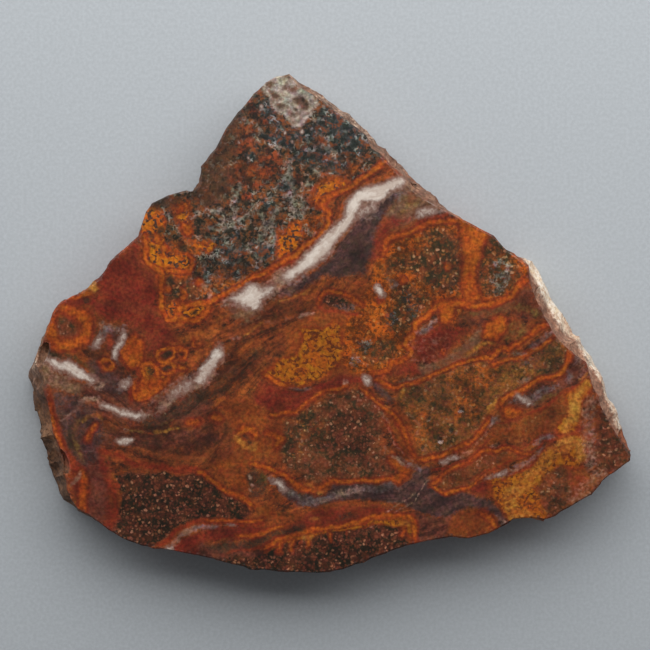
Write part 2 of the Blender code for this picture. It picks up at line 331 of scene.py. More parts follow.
GRANULAR_PATCHES: tuple[Mark, ...] = (
    Patch(T.GRIT, (-32, -22.8, -30.5, -22, -28, -22.4, -25, -22.2, -22.5, -23, -20, -22.7, -19, -22.9,
        -17.8, -24.4, -15, -25.3, -13, -27, -11.6, -28.5, -13, -29.3, -17, -29, -21, -29.6, -23, -30.7,
        -25, -32.3, -26.6, -33.6, -30, -33.6, -34, -31.4, -32.6, -29.5, -31.8, -28, -31.2, -26.5, -31, -25,
        -31.6, -24), 0.18),
    Patch(T.GRIT, (-10, -34.4, -8, -33.7, -6.4, -32.9, -4, -32, -1.5, -31.8, 0, -31.2, 4, -30.7, 8, -30.3,
        10.3, -30.5, 11.3, -31.6, 12, -34, 8, -36, 2, -39, -9, -39, -18, -38, -16, -35, -12, -34.8), 0.25),
    Patch(T.GRAVEL, (-40.8, 0.6, -39.5, 1, -38.2, 0.6, -37.8, -0.6, -38.2, -1.8, -39.5, -2.2, -40.8, -1.8,
        -41.2, -0.6), 0.4, 0.9),
    Patch(T.GRIT, (-1.3, 3.4, -0.4, 4.2, 0.6, 4.3, 2.4, 3.6, 3.7, 2.8, 3.3, 2.2, 1.6, 2.2, 0.2, 2.7), 0.25),
    Patch(T.GRAVEL, (-7, -15, -5, -13.5, -3, -12.6, 0, -10.9, 2.5, -10.2, 5, -10.2, 6.5, -11, 7.4, -12.8,
        7.9, -14.5, 7.6, -17, 8, -19, 9.4, -20.6, 10.8, -22.2, 10, -23, 7.5, -23, 3, -23.3, 0, -23.2,
        -2, -24, -4.5, -22.8, -7, -21, -7.6, -18.5), 0.7),
    Patch(T.CHAR, (-5.6, -14, -2.4, -13, -0.6, -14.4, -1, -16.6, -3.4, -17.4, -4.6, -19.4, -6.4, -20,
        -6.6, -16.4), 1.2, 0.6),
    Patch(T.GRIT, (0.4, -14.2, 3, -13, 5.4, -14, 6.4, -17, 5, -20, 3, -18.4, 0.4, -17.6), 1.0, 0.6),
    Patch(T.LOAM, (-5, -19.6, 0, -18.8, 4, -19.6, 7, -20.4, 6, -22.8, -2, -23, -5, -22.2), 0.8, 0.85),
    Patch(T.GRAVEL, (40.8, -12.6, 42.5, -15.3, 44, -17.3, 46, -19, 44.5, -21.8, 43, -22.4, 40.6, -22.2,
        39.8, -20, 40.4, -17, 40.6, -14.5), 0.3),
    Patch(T.GRIT, (40.8, -15, 42.6, -16, 43.6, -19, 42.6, -21.4, 40.4, -21.6, 40.4, -18.4), 0.8, 0.45),
    Patch(T.GRAVEL, (31, -24.6, 32.4, -22.6, 34.6, -21.6, 36.2, -22.6, 36.3, -25.6, 35.6, -28.2, 33, -28.9,
        31.8, -27), 0.8, 0.6),
    Patch(T.GRAVEL, (15.6, -24.6, 17.4, -22.6, 20.4, -21.4, 23, -20, 26.4, -19.4, 25, -20.8, 22, -22.4,
        20.6, -24, 18, -25), 0.35, 0.55),
    Patch(T.LOAM, (24.8, -15.6, 28, -14.8, 31, -13.8, 33.4, -12.6, 36, -12.6, 33.6, -14.8, 30.6, -15.4,
        28.4, -17.2, 25.6, -17), 0.6, 0.35),
    Patch(T.LOAM, (10.3, -10.2, 14, -8.3, 17, -7.3, 20, -6.1, 24, -5.4, 30, -4, 34, -2.4, 35.4, -3.2,
        35.7, -5, 35.1, -6.4, 34, -7.4, 31, -8.3, 28.5, -9.4, 26.4, -10.8, 25, -12.2, 23, -14.6,
        21.3, -16.8, 19, -18.2, 16, -19.4, 13.6, -19.6, 12.8, -18, 12, -15, 10.8, -13, 9.8, -11.2), 0.35),
    Patch(T.EMBER, (18, -7.6, 22, -6.6, 25, -6, 24, -8.4, 22, -11, 21.6, -13.6, 19, -13.6, 18.6, -10), 1.0,
        0.4),
    Patch(T.EMBER, (12.4, -12, 14.4, -13, 14.6, -16, 13.2, -18, 12, -15), 0.8, 0.35),
    Patch(T.EMBER, (8.3, 12, 10, 13, 12, 13.8, 15, 14.8, 18.5, 15, 19.6, 16.2, 22, 14.8, 24, 13.4, 26, 12.2,
        28, 10.5, 29.6, 8.5, 29.6, 6.6, 28, 4.8, 26, 3.6, 24, 3.2, 20, 3.2, 18.4, 0, 17, 0.2, 16, 3,
        14.8, 1.6, 13, 0.2, 12.6, -2, 11.4, -2.8, 11.6, -4.5, 10.5, -5.8, 8.8, -6.4, 8, -7.2, 6.2, -7,
        3.4, -7.4, 1.6, -6, 2, -3, 2.4, 0, 3.4, 2, 4.4, 3.6, 6, 6.4, 7, 9), 0.4),
    Patch(T.GOLD, (-4.5, -0.8, -3, -0.6, -1, -0.7, 0, -0.3, 0.7, 0.3, 1.5, -0.7, 1.3, -1.5, 1.5, -3,
        2, -4.5, 1.2, -6, 0, -7, -1, -7.8, -2, -8.5, -3, -9, -3.8, -9.3, -5, -9.2, -6.5, -9.4, -8, -8.8,
        -9.8, -8.2, -9.9, -7.6, -9, -7, -8.3, -6.3, -7.5, -5.6, -6.5, -5.2, -5.2, -5, -4.8, -4, -4.2, -3,
        -4, -2, -4.3, -1.3), 0.3),
    Patch(T.GOLD, (24.3, -25.6, 24, -23.7, 25.5, -23, 28, -22.6, 30, -21.5, 31.5, -20, 33, -18.8,
        34.6, -18.6, 35.4, -19.8, 37.8, -20, 37.4, -21, 34.6, -21.4, 32, -22.8, 31, -25, 31.8, -27.2,
        33, -29, 31.8, -30, 29, -29.4, 27.2, -30.2, 26.8, -28.6, 25.6, -27), 0.4),
    Patch(T.GOLD, (-9.4, -34.4, -7, -32.8, -4, -31.1, -1, -30.7, 2, -30.2, 6, -29.2, 9, -28.7, 12, -29.5,
        12.9, -31, 12.7, -33, 11.8, -31.8, 10.3, -30.4, 7, -30.1, 3, -30.8, 0.6, -31.1, -1.4, -31.7,
        -4, -32.5, -6.4, -33.6, -8.2, -35), 0.3),
    Patch(T.GOLD, (38.2, -8.7, 39, -9.3, 38.8, -10.2, 37.6, -11.8, 37, -14, 37, -15.9, 34, -16, 34.1, -15.2,
        35.6, -14, 36.4, -12.4, 35.4, -10.4, 37, -9.6), 0.3),
    Patch(T.GOLD, (34.5, -17, 37, -16.6, 38.6, -17, 38.2, -19.8, 36.4, -20, 35.4, -18.6), 0.3),
    Patch(T.LOBE, (-29, 19, -29, 12, -27.5, 10, -25.8, 8, -25.3, 6, -25.5, 3, -24.3, 1, -22, 0.3, -20, 0.6,
        -18.5, 1.8, -18, 3.2, -16, 4.4, -14, 5.4, -12, 6.5, -10, 7.6, -8, 9.1, -5, 10.4, -3.5, 11.8,
        -1.5, 13.3, -0.2, 15.2, -0.6, 16.5, -1.9, 17.6, 0, 19.2, 2.5, 20.3, 4, 21.2, 6, 22.5, 7.8, 24.6,
        12, 26, 0, 40, -15, 42, -32, 24), 0.25),
)

LOBE_PATCHES: tuple[Mark, ...] = (
    Patch(T.CINDER, (-28.8, 15, -27.6, 17.4, -26.2, 17.6, -25, 15.4, -25.2, 12.4, -23.8, 10.6, -21.4, 10.4,
        -20.8, 8.6, -21.8, 7, -24.8, 7.4, -25.2, 4, -24.6, 2.6, -22.4, 3.2, -20.4, 3, -18, 3.4, -18.4, 1.8,
        -20, 0.5, -22, 0.3, -24.3, 1, -25.5, 3, -25.3, 6, -25.8, 8, -27.6, 10, -28.4, 12.4), 0.35),
    Patch(T.CINDER, (-23.2, 18.4, -21.8, 18, -21.2, 15, -21.4, 13.6, -22.2, 14.4, -22.6, 16), 0.5, 0.8),
    Patch(T.CINDER, (-8, 14, -7, 13.2, -6, 14.9, -4.8, 15, -4.2, 13, -5, 11.6, -7.4, 10), 0.3),
    Patch(T.CINDER, (-2, 17.6, 0, 19.6, 2.6, 21.2, 0.6, 21.8, -1.4, 20.6, -2.8, 18.6), 0.5, 0.75),
    Patch(T.CHAR, (-24.9, 3.4, -24.9, 6.8, -22.4, 7, -20, 6.4, -19.2, 4.4, -21, 3.5, -22.8, 3), 0.5, 0.85),
    Patch(T.EMBER, (-25, 7.6, -21.6, 7, -18, 7.6, -13, 8.6, -9.6, 8.4, -13, 6.4, -17, 4.8, -21, 3.8,
        -24.8, 3), 0.8, 0.55),
    Patch(T.EMBER, (-24.6, 12, -21.4, 13, -18, 12, -19.6, 10.4, -23, 10.4), 0.7, 0.6),
    Patch(T.EMBER, (-4, 16, -1, 16.4, 0, 14.8, -3.4, 12.4, -4.4, 13.6), 0.6, 0.7),
    Patch(T.EMBER, (-13.8, 24.4, -10.6, 23.8, -8.8, 22.6, -11, 21.6, -14.6, 22.4), 0.8, 0.5),
    Patch(T.EMBER, (-2, 25.4, 1, 25.4, 4.6, 23.2, 2, 21.4, -2, 22), 0.8, 0.55),
    Patch(T.SLATE, (-11, 33, -8.8, 33.6, -8.5, 31, -6.5, 29, -5.5, 29, -2, 29.3, -1.5, 32.5, 0.5, 33,
        2, 31.6, 5.5, 28.4, 4.4, 25, 1, 25.8, -0.6, 28.4, -5, 27.6, -9, 30), 0.6, 0.9),
    Patch(T.SLATE, (-11.5, 28.5, -10, 28, -9, 27, -6.5, 26.5, -5.5, 25.5, -5, 28, -8, 28.6), 0.5),
    Patch(T.SLATE, (-6, 25, -3.4, 26.8, 0.4, 26, 3, 24, 1, 22, -2.6, 23.6), 0.7, 0.8),
    Patch(T.SLATE, (-11.4, 12.4, -9, 11.8, -8.2, 10.4, -9.6, 9.6, -11, 10.4), 0.4, 0.9),
    Spots(T.SLATE, (-13.5, 31, -12, 25, -3, 28.3, -9.2, 18, -18.3, 7.8, -15.4, 11, -14, 7.4, -8.4, 11.2,
        -16, 21, -6.6, 20.6), 0.5, 0.9, 0.7),
    Patch(T.BRICK, (-15.5, 26, -13.8, 28, -13.2, 30.2, -11.4, 30, -11, 27.4, -12.4, 25.6), 0.5, 0.9),
    Patch(T.BRICK, (-12.6, 33, -11.6, 33.6, -10.9, 31.6, -11.6, 31), 0.4),
    Patch(T.BRICK, (-1.6, 31.2, 0.4, 31.4, 1.2, 29.8, -0.6, 29.2), 0.4),
    Patch(T.BRICK, (-15, 24, -9, 24.4, -7, 22, -12, 20.4, -15, 21.4), 0.8, 0.6),
    Stroke(T.BRICK, (-10.4, 30.5, -9, 30.2), 0.3, 1.0, 0.9),
    Stroke(T.BRICK, (-9.3, 28.2, -6.4, 27.7), 0.3, 1.0, 0.8),
    Stroke(T.BRICK, (-9.2, 26, -8.4, 25, -7.4, 24), 0.3, 1.0, 1.2),
    Stroke(T.BRICK, (-2, 28, -1.4, 27.4, -0.8, 26.4), 0.3, 1.0, 0.8),
    Spots(T.BRICK, (-10, 25, -4, 26, -14.5, 21.9, -9, 23.2, -4.6, 21.8, -12.6, 19, 2.6, 27.2), 0.3, 1.0,
        0.7),
    Patch(T.RUSSET, (-21, 20.4, -19.4, 24.4, -16.6, 29, -15, 31, -13.8, 33, -13.6, 29, -14.6, 25, -15, 21.6,
        -16, 18.6, -19, 17.8), 1.2, 0.62),
    Patch(T.PITCH, (-19.6, 24, -16.6, 27.6, -15.4, 24, -16.2, 19, -18, 18.4, -20.6, 20.6), 1.2, 0.3),
    Patch(T.SLATE, (-17.6, 13, -13.4, 13.2, -12.6, 11, -14.6, 8.8, -17.4, 9.4), 0.7, 0.5),
    Stroke(T.SLATE, (-20.4, 6.6, -17.4, 7, -14.6, 7.6, -11, 8.8), 0.6, 0.4, 1.0),
    Stroke(T.NET, (-18.8, 17.4, -17.4, 16.8, -16.2, 16.8), 0.3, 0.85, 0.45),
    Stroke(T.NET, (-13.8, 21.4, -14, 19.4, -14.6, 18, -14, 16.2, -14.6, 14.6), 0.35, 0.8, 0.55),
    Stroke(T.NET, (-11.6, 17.4, -12.6, 16.2, -13.8, 15.4, -16.4, 14.2, -18.6, 14.4), 0.35, 0.8, 0.6),
    Stroke(T.NET, (-8, 17.4, -8.8, 15.6, -9, 14, -8.4, 12.6, -9.6, 11.6), 0.4, 0.9, 0.9),
    Stroke(T.NET, (-7, 21.6, -8.6, 19.4, -9.6, 17.6), 0.35, 0.5, 0.4),
    Stroke(T.NET, (-16.2, 16.8, -15, 15.4, -13.6, 14.2), 0.35, 0.6, 0.4),
    Stroke(T.NET, (-4.8, 19.2, -3.8, 17.6, -4.4, 16), 0.4, 0.6, 0.6),
    Stroke(T.NET, (-11, 17.2, -10, 15.6, -9.8, 13.6, -11.2, 12.4), 0.35, 0.65, 0.5),
    Stroke(T.NET, (-6.6, 24.2, -5.6, 24.8, -4.8, 24.8), 0.3, 0.8, 0.4),
    Stroke(T.NET, (-6.2, 23.2, -6, 20.6, -5.4, 18.4, -5.2, 16.2), 0.4, 0.85, 0.9),
    Stroke(T.NET, (-3, 23.6, -2.2, 22.8, -1.6, 22.2), 0.3, 0.75, 0.35),
    Stroke(T.NET, (-4.6, 20.2, -3.6, 20.9, -2.4, 21), 0.3, 0.65, 0.35),
    Stroke(T.NET, (-3.6, 14.6, -2.8, 13.4, -2.2, 13.6), 0.3, 0.6, 0.5),
    Stroke(T.NET, (-16, 12.2, -14, 11, -12, 11.4, -11, 10.2, -9.6, 9.6), 0.4, 0.6, 0.45),
    Stroke(T.NET, (-16.6, 10.2, -15, 9.2, -13.4, 9.4), 0.35, 0.5, 0.45),
    Stroke(T.NET, (-19.2, 9.4, -18.6, 7.6, -18.8, 6), 0.35, 0.55, 0.5),
    Stroke(T.NET, (1, 29, 2.6, 28, 4.2, 26.8), 0.4, 0.7, 0.6),
    Stroke(T.NET, (-1.2, 26.6, 0.8, 25.8), 0.3, 0.6, 0.5),
    Stroke(T.NET, (24.4, 8.8, 25.6, 9.6, 26.8, 9, 26.2, 7.8, 24.8, 7.4, 24.2, 6.4, 25.4, 5.8, 26.4, 6.6),
        0.35, 0.8, 0.5),
    Stroke(T.NET, (26.8, 9, 26.4, 7, 25.4, 4.8), 0.4, 0.5, 0.5),
    Patch(T.BONE, (-10.2, 35, -9.5, 34.2, -9, 33.5, -8.8, 32.5, -8.2, 31.7, -7.3, 31.3, -6.5, 31,
        -6.2, 30.3, -5.5, 29.7, -4.8, 29.4, -3.8, 29.6, -3.4, 30.4, -2.9, 31.3, -2.5, 32, -2.2, 32.8,
        -1.7, 33, -2.2, 34, -3, 34.8, -4, 35.5, -4.6, 36.5, -5.3, 37.6, -7, 38, -8.8, 37, -10, 36.2), 0.25),
)

WHITE_VEINS: tuple[Mark, ...] = (
    Patch(T.BLUSH, (-16.2, 2.8, -16, 3.8, -14.6, 4.7, -12.4, 6, -10.6, 5.8, -9.4, 6.3, -7.6, 8.2, -5.4, 9.2,
        -3.6, 10.9, -2, 12.3, -0.6, 14.2, 1.4, 15.8, 2.4, 18, 4.4, 20.1, 7.4, 21.2, 9.6, 22, 12.4, 22.6,
        12, 21.2, 9.4, 20, 7.6, 18.4, 6, 17.2, 4.2, 17, 3.6, 15, 1.4, 12.8, -0.4, 10.2, -2.6, 8.4,
        -4.8, 6.8, -7, 5.6, -9.6, 3.8, -10.2, 2.1, -12.4, 2.2, -14, 2.6), 0.4, 0.85),
    Stroke(T.LILAC, (-9.2, 5.6, -7.8, 6.2, -6.6, 6.4, -5.2, 6.4, -3.8, 7.2), 0.3, 0.75, 0.8),
    Patch(T.MILK, (-14.6, 4.1, -13, 5.1, -12.2, 5.6, -11.2, 5.4, -10, 4.9, -9.2, 5.4, -8.6, 5.3, -9.4, 4.4,
        -10.6, 3.8, -10.6, 2.7, -11.4, 2.4, -12.2, 2.9, -13.4, 3.3), 0.4),
    Patch(T.MILK, (-7, 6.9, -6.3, 8, -5.1, 8.8, -4.1, 9.9, -2.9, 10.8, -1.9, 12.1, -1.1, 13.1, -0.1, 14.1,
        0.9, 14.9, 1.9, 15.9, 2.4, 17.3, 3.1, 18.7, 4.3, 19.8, 6, 20.6, 8.2, 21.2, 10, 21.7, 11.3, 21.6,
        10.6, 20.9, 9.1, 20.3, 8.2, 19.3, 7.4, 18.7, 6, 18.3, 4.5, 18.3, 3.7, 17.2, 3.2, 15.8, 2.6, 14.9,
        1.4, 13.7, 0.5, 12.3, -0.4, 11, -1.4, 10, -2.5, 9, -3.9, 8.1, -5, 7.3, -6, 6.7), 0.3),
    Stroke(T.MILK, (4.4, 16.6, 5.4, 17.2, 6.4, 17.6), 0.4, 0.45, 0.5),
    Patch(T.MILK, (-17.2, -3.8, -16.5, -3.7, -16.1, -4.4, -16.5, -5.2, -17, -6, -17.7, -6.8, -18.4, -7.6,
        -19, -8.5, -20.2, -8.9, -19.9, -8.2, -19.3, -7.4, -19.2, -6.6, -18.4, -5.6, -17.7, -4.7), 0.3,
        0.95),
    Stroke(T.BLUSH, (-17.4, -7, -19, -8.6, -20.6, -9.2, -22, -9.6, -23.4, -10.4, -24.4, -11.6, -25.2, -12.4,
        -26, -13.2), 0.45, 0.85, 1.5, 2.8),
    Stroke(T.LILAC, (-18.6, -6.4, -20.2, -8.2, -21.4, -8.8), 0.4, 0.6, 0.8),
    Stroke(T.MILK, (-21, -9.3, -22.4, -9.7, -23.6, -10.6), 0.4, 0.35, 0.4),
    Stroke(T.BLUSH, (-16.6, -3.2, -16, -4, -16.4, -5.8), 0.4, 0.7, 0.9),
    Stroke(T.BLUSH, (-26.8, -11.8, -25.6, -10.8, -24.2, -9.6, -22.6, -8.4, -21.4, -8), 0.3, 0.7, 0.6),
    Stroke(T.UMBER, (-25.6, -11.9, -24.2, -10.6, -22.4, -9), 0.3, 0.6, 0.3),
    Stroke(T.BLUSH, (-37.2, -11.7, -36, -11.3, -35, -11.2, -34.4, -12, -33, -12.9, -31.5, -13.2, -30, -13.6,
        -29, -14, -28, -13.5, -27, -13.4), 0.3, 0.75, 0.8),
    Stroke(T.MILK, (-34, -12.4, -31.6, -13.3, -30.2, -13.6, -29.1, -14, -28.1, -13.8), 0.3, 0.75, 0.45),
    Stroke(T.MILK, (-42.4, -5.6, -41.2, -5.9, -40, -6.3, -38.6, -7, -37, -7.8, -35.6, -8.5), 0.3, 0.9, 0.8,
        1.6),
    Patch(T.MILK, (-40.2, -5.9, -39.2, -5.7, -38.2, -6.1, -37.2, -7, -36.2, -8, -35.6, -8.6, -36.6, -8.5,
        -38, -8, -39.2, -7.3, -40.2, -6.7), 0.3, 0.95),
    Stroke(T.BLUSH, (-44.4, -6.6, -42.4, -7.4, -40.2, -8.4), 0.7, 0.35, 1.8),
    Stroke(T.BLUSH, (-42.9, -5.2, -41.5, -6, -40, -6.5, -38.4, -7.2, -36.6, -8, -34.6, -9), 0.4, 0.55, 1.5),
    Stroke(T.LILAC, (-31, -0.8, -31.3, -2, -31.9, -3.5, -32.3, -5.4), 0.35, 0.9, 1.0),
    Stroke(T.LILAC, (-34.2, -0.6, -32.8, -0.5, -31.4, -1), 0.35, 0.65, 0.8),
    Stroke(T.DUSK, (-33.6, -1, -32.6, -2, -32.9, -3.6), 0.5, 0.5, 0.8),
    Stroke(T.MILK, (-31.2, -1.6, -31.6, -2.6, -32, -4, -32.2, -4.8), 0.3, 0.6, 0.4),
    Stroke(T.LILAC, (-34, -0.2, -33.6, -0.8, -34.2, -1.8, -34.8, -2.8, -35.8, -3.4), 0.35, 0.9, 1.0),
    Stroke(T.MILK, (-34.5, -2.4, -35.2, -3.2), 0.3, 0.6, 0.4),
    Stroke(T.DUSK, (-35.4, -6.6, -34, -8.2, -32, -9.6), 0.7, 0.8, 2.2),
    Stroke(T.LILAC, (-30, -7.8, -30.7, -9.2, -31.6, -10.2), 0.35, 0.8, 0.8),
    Stroke(T.MILK, (-30.3, -8.5, -30.9, -9.4), 0.3, 0.45, 0.4),
    Patch(T.MILK, (-32, -17.6, -31.2, -17.1, -30, -17.1, -29.4, -17.3, -29.9, -17.8, -30.8, -18.1,
        -31.6, -18.1), 0.25, 0.9),
    Stroke(T.MILK, (-8.2, -23.8, -7.4, -24.3, -6.8, -25), 0.3, 0.75, 0.6),
    Stroke(T.LILAC, (-8.9, -23.4, -7.5, -24.2, -6.2, -25.4, -4.6, -26.4, -2.5, -26.6, -1, -26.2, 1, -25.4,
        3, -24.9, 5.4, -24.7, 7.6, -24.6, 9, -24.4), 0.4, 0.65, 0.8),
    Stroke(T.LILAC, (0.2, -25.3, 2.4, -24.9, 4.6, -24.8), 0.35, 0.85, 0.7),
    Stroke(T.LILAC, (7.8, -24.3, 9, -24.2, 10, -24.4), 0.35, 0.75, 0.5),
    Stroke(T.BLUSH, (-2.6, -27, -1, -26.5, 0.6, -26, 2, -25.4), 0.25, 0.45, 0.25),
    Stroke(T.BLUSH, (1.2, -25.3, 2.8, -24.9, 4.4, -24.8), 0.35, 0.7, 0.5),
    Stroke(T.BLUSH, (-24.6, -33.9, -23.8, -33.2, -23, -32.6, -22, -31.7, -20.6, -31), 0.25, 0.9, 0.7),
    Stroke(T.MILK, (-24.7, -33.9, -24.1, -33.7), 0.25, 0.75, 0.6),
    Stroke(T.LILAC, (-22.6, -32.2, -21.4, -31.3, -19.6, -30.8, -17.8, -30.5, -16.8, -30.5), 0.25, 0.9,
        0.54),
    Stroke(T.LILAC, (-15.8, -30.4, -15, -30.2, -14.2, -30.4), 0.2, 0.8, 0.45),
    Stroke(T.MILK, (7.1, 5.5, 7.3, 4.9, 7.9, 4.2), 0.25, 0.8, 0.7),
    Stroke(T.LILAC, (13.4, -1.2, 14.2, -0.7, 15, -0.2, 15.6, 0.8), 0.3, 0.9, 0.81),
    Stroke(T.BLUSH, (5.2, -7.4, 5.7, -8, 6, -8.8), 0.25, 0.9, 0.6),
    Stroke(T.MILK, (5.5, -7.9, 6, -8.9), 0.25, 0.6, 0.5),
    Stroke(T.DUSK, (6.6, -9, 7.8, -10, 9.2, -11.4), 0.35, 0.8, 0.9),
    # The spot at (-17.9, 4.2) is a painted highlight, set on a glint of the face.
    Spots(T.BLUSH, (-30.8, -15.8, 2.2, -8.8, -17.9, 4.2, 15.6, -2.6), 0.25, 0.6, 0.35),
    Patch(T.LILAC, (27, -12, 28.2, -11.2, 30.4, -10.4, 34.4, -9.1, 32, -10.6, 30.4, -11.8, 28.8, -11.8),
        0.4, 0.7),
    Stroke(T.MILK, (28.2, -10.9, 28.9, -11.1, 29.7, -11.6), 0.35, 0.6, 0.35),
    Patch(T.LILAC, (24.2, -15.2, 24.6, -14.2, 25.4, -13.9, 25.6, -14.6, 24.8, -15.4), 0.25, 0.9),
    Stroke(T.BLUSH, (16.6, -20.8, 18, -20.3, 19.6, -19.8, 21.4, -18.8, 22.6, -17.8, 23.6, -16.2, 24.4, -15),
        0.3, 0.3, 0.3),
    Stroke(T.MILK, (16.9, -20.6, 17.8, -20.3, 18.6, -20.05), 0.25, 0.3, 0.25),
    Stroke(T.LILAC, (17, -20.6, 18, -20.3, 19.2, -20), 0.3, 0.8, 0.63),
    Stroke(T.BLUSH, (23.2, -23, 25, -22.7, 26.4, -22.3, 28, -21.8, 29, -21.2), 0.3, 0.5, 0.35),
    Stroke(T.LILAC, (23.4, -23.3, 25.4, -23, 27.4, -22.4), 0.3, 0.7, 0.4),
    Stroke(T.MILK, (24.8, -22.7, 25.6, -22.5, 26.2, -22.2), 0.25, 0.4, 0.3),
    Stroke(T.LILAC, (27.6, -21.8, 29.4, -20.8, 31, -19.6, 32, -18.4), 0.3, 0.55, 0.35),
    Stroke(T.LILAC, (30.6, -17.9, 32, -17.1, 33.4, -16.7), 0.3, 0.85, 0.63),
    Stroke(T.BLUSH, (24.4, -18.4, 25.2, -18), 0.25, 0.45, 0.35),
    Stroke(T.BLUSH, (25, -28.7, 26.2, -29.3, 26.4, -30.3), 0.2, 0.8, 0.35),
    Stroke(T.BLUSH, (40.3, -22.8, 39.7, -23.5, 38.5, -24), 0.3, 0.7, 0.5),
    Stroke(T.BLUSH, (7.2, -12.2, 8.6, -14.4, 9.2, -17, 10.6, -19.2, 12.4, -20.8), 0.2, 0.3, 0.2),
    Stroke(T.BLUSH, (8.2, -18.4, 9.2, -19.6, 10.4, -20.8, 11.6, -21.6), 0.2, 0.55, 0.3),
    Stroke(T.BLUSH, (11.4, -13.6, 13, -14.6, 13.4, -15.6, 12.8, -16.6), 0.2, 0.5, 0.25),
    Stroke(T.BLUSH, (8.2, -28.4, 10.5, -27, 12.4, -25.6, 13.2, -25.3), 0.15, 0.6, 0.14),
    Stroke(T.BLUSH, (9.6, -28.5, 12.4, -26.8, 14, -24.9, 14.9, -23.4), 0.15, 0.6, 0.14),
    Stroke(T.BLUSH, (-5, 1, -4, 1.3, -2.5, 1.6), 0.25, 0.85, 0.5),
    Stroke(T.BLUSH, (-15, -2, -13.6, -1.8), 0.25, 0.4, 0.3),
    Stroke(T.BLUSH, (-19.4, 5.9, -18.6, 5.2), 0.25, 0.8, 0.45),
    Patch(T.LILAC, (12.8, 16.2, 14, 17, 16.6, 17.4, 18, 17.2, 15.6, 16.4), 0.4, 0.9),
    Stroke(T.MILK, (13.6, 16.7, 15.2, 17), 0.4, 0.7, 0.6),
    Stroke(T.LILAC, (7.6, 19.2, 9, 19.6, 10.6, 19.6), 0.6, 0.6, 1.08),
    Stroke(T.LILAC, (5.4, 16.2, 7, 16.6), 0.6, 0.5, 1.26),
    Stroke(T.LILAC, (10.2, -20.4, 11.4, -21.2, 13.4, -21.8), 0.3, 0.6, 0.63),
    Stroke(T.LILAC, (36, -6.9, 36.3, -7.6, 35.9, -8.4), 0.3, 0.8, 0.72),
    Stroke(T.LILAC, (37.4, -4.2, 37, -5.6), 0.3, 0.5, 0.63),
    Stroke(T.BLUSH, (39.4, -11.4, 38.6, -13.4, 38.6, -15.6, 38.9, -18, 39, -20.6), 0.8, 0.5, 1.2),
    Stroke(T.BLUSH, (40.6, -22.6, 38.6, -24.2, 36.6, -26.2), 0.8, 0.42, 1.2),
    Stroke(T.BLUSH, (37.8, -5.4, 38.2, -6.6, 37.6, -7.6), 0.4, 0.4, 0.6),
    Stroke(T.LILAC, (-6, -9.8, -4.4, -10, -3, -9.8), 0.25, 0.85, 0.45),
    Stroke(T.LILAC, (27.6, -4.4, 29.2, -4.3), 0.25, 0.6, 0.45),
    Stroke(T.LILAC, (30.2, -3.2, 31, -2.6, 32, -1.9, 33, -1.3), 0.3, 0.7, 0.81),
    Stroke(T.LILAC, (28.7, -5.9, 29.6, -5.6), 0.25, 0.7, 0.54),
    Stroke(T.BLUSH, (28.4, -8.6, 30.2, -8), 0.25, 0.6, 0.4),
    Patch(T.LILAC, (8.6, 7, 9.4, 6.9, 9.9, 6, 9.2, 5.4, 8.6, 6), 0.25, 0.6),
    Patch(T.LILAC, (1, 2.7, 2.4, 3.1, 3.9, 2.9, 3, 2, 1.6, 2.1), 0.25, 0.4),
    Stroke(T.LILAC, (-8.2, 6.4, -7.2, 6.8, -6.4, 6.6), 0.25, 0.8, 0.54),
    Spots(T.BLUSH, (-4.3, -17.6, -4.2, 21.2, 10.4, 11.4, 18.8, -16.2), 0.15, 1.0, 0.28),
    # Tiny white spots where the polished face shows glints: painted highlights.
    Spots(T.MILK, (-10.2, 32.5, -7, 33.6, -3.6, 31.3, -6.8, 29, -7.2, 26.5, -12.3, 24.7, -13.5, 27.4,
        -4, 28.9, -5.5, 27.3, 16.6, -17.8), 0.1, 0.6, 0.16),
)

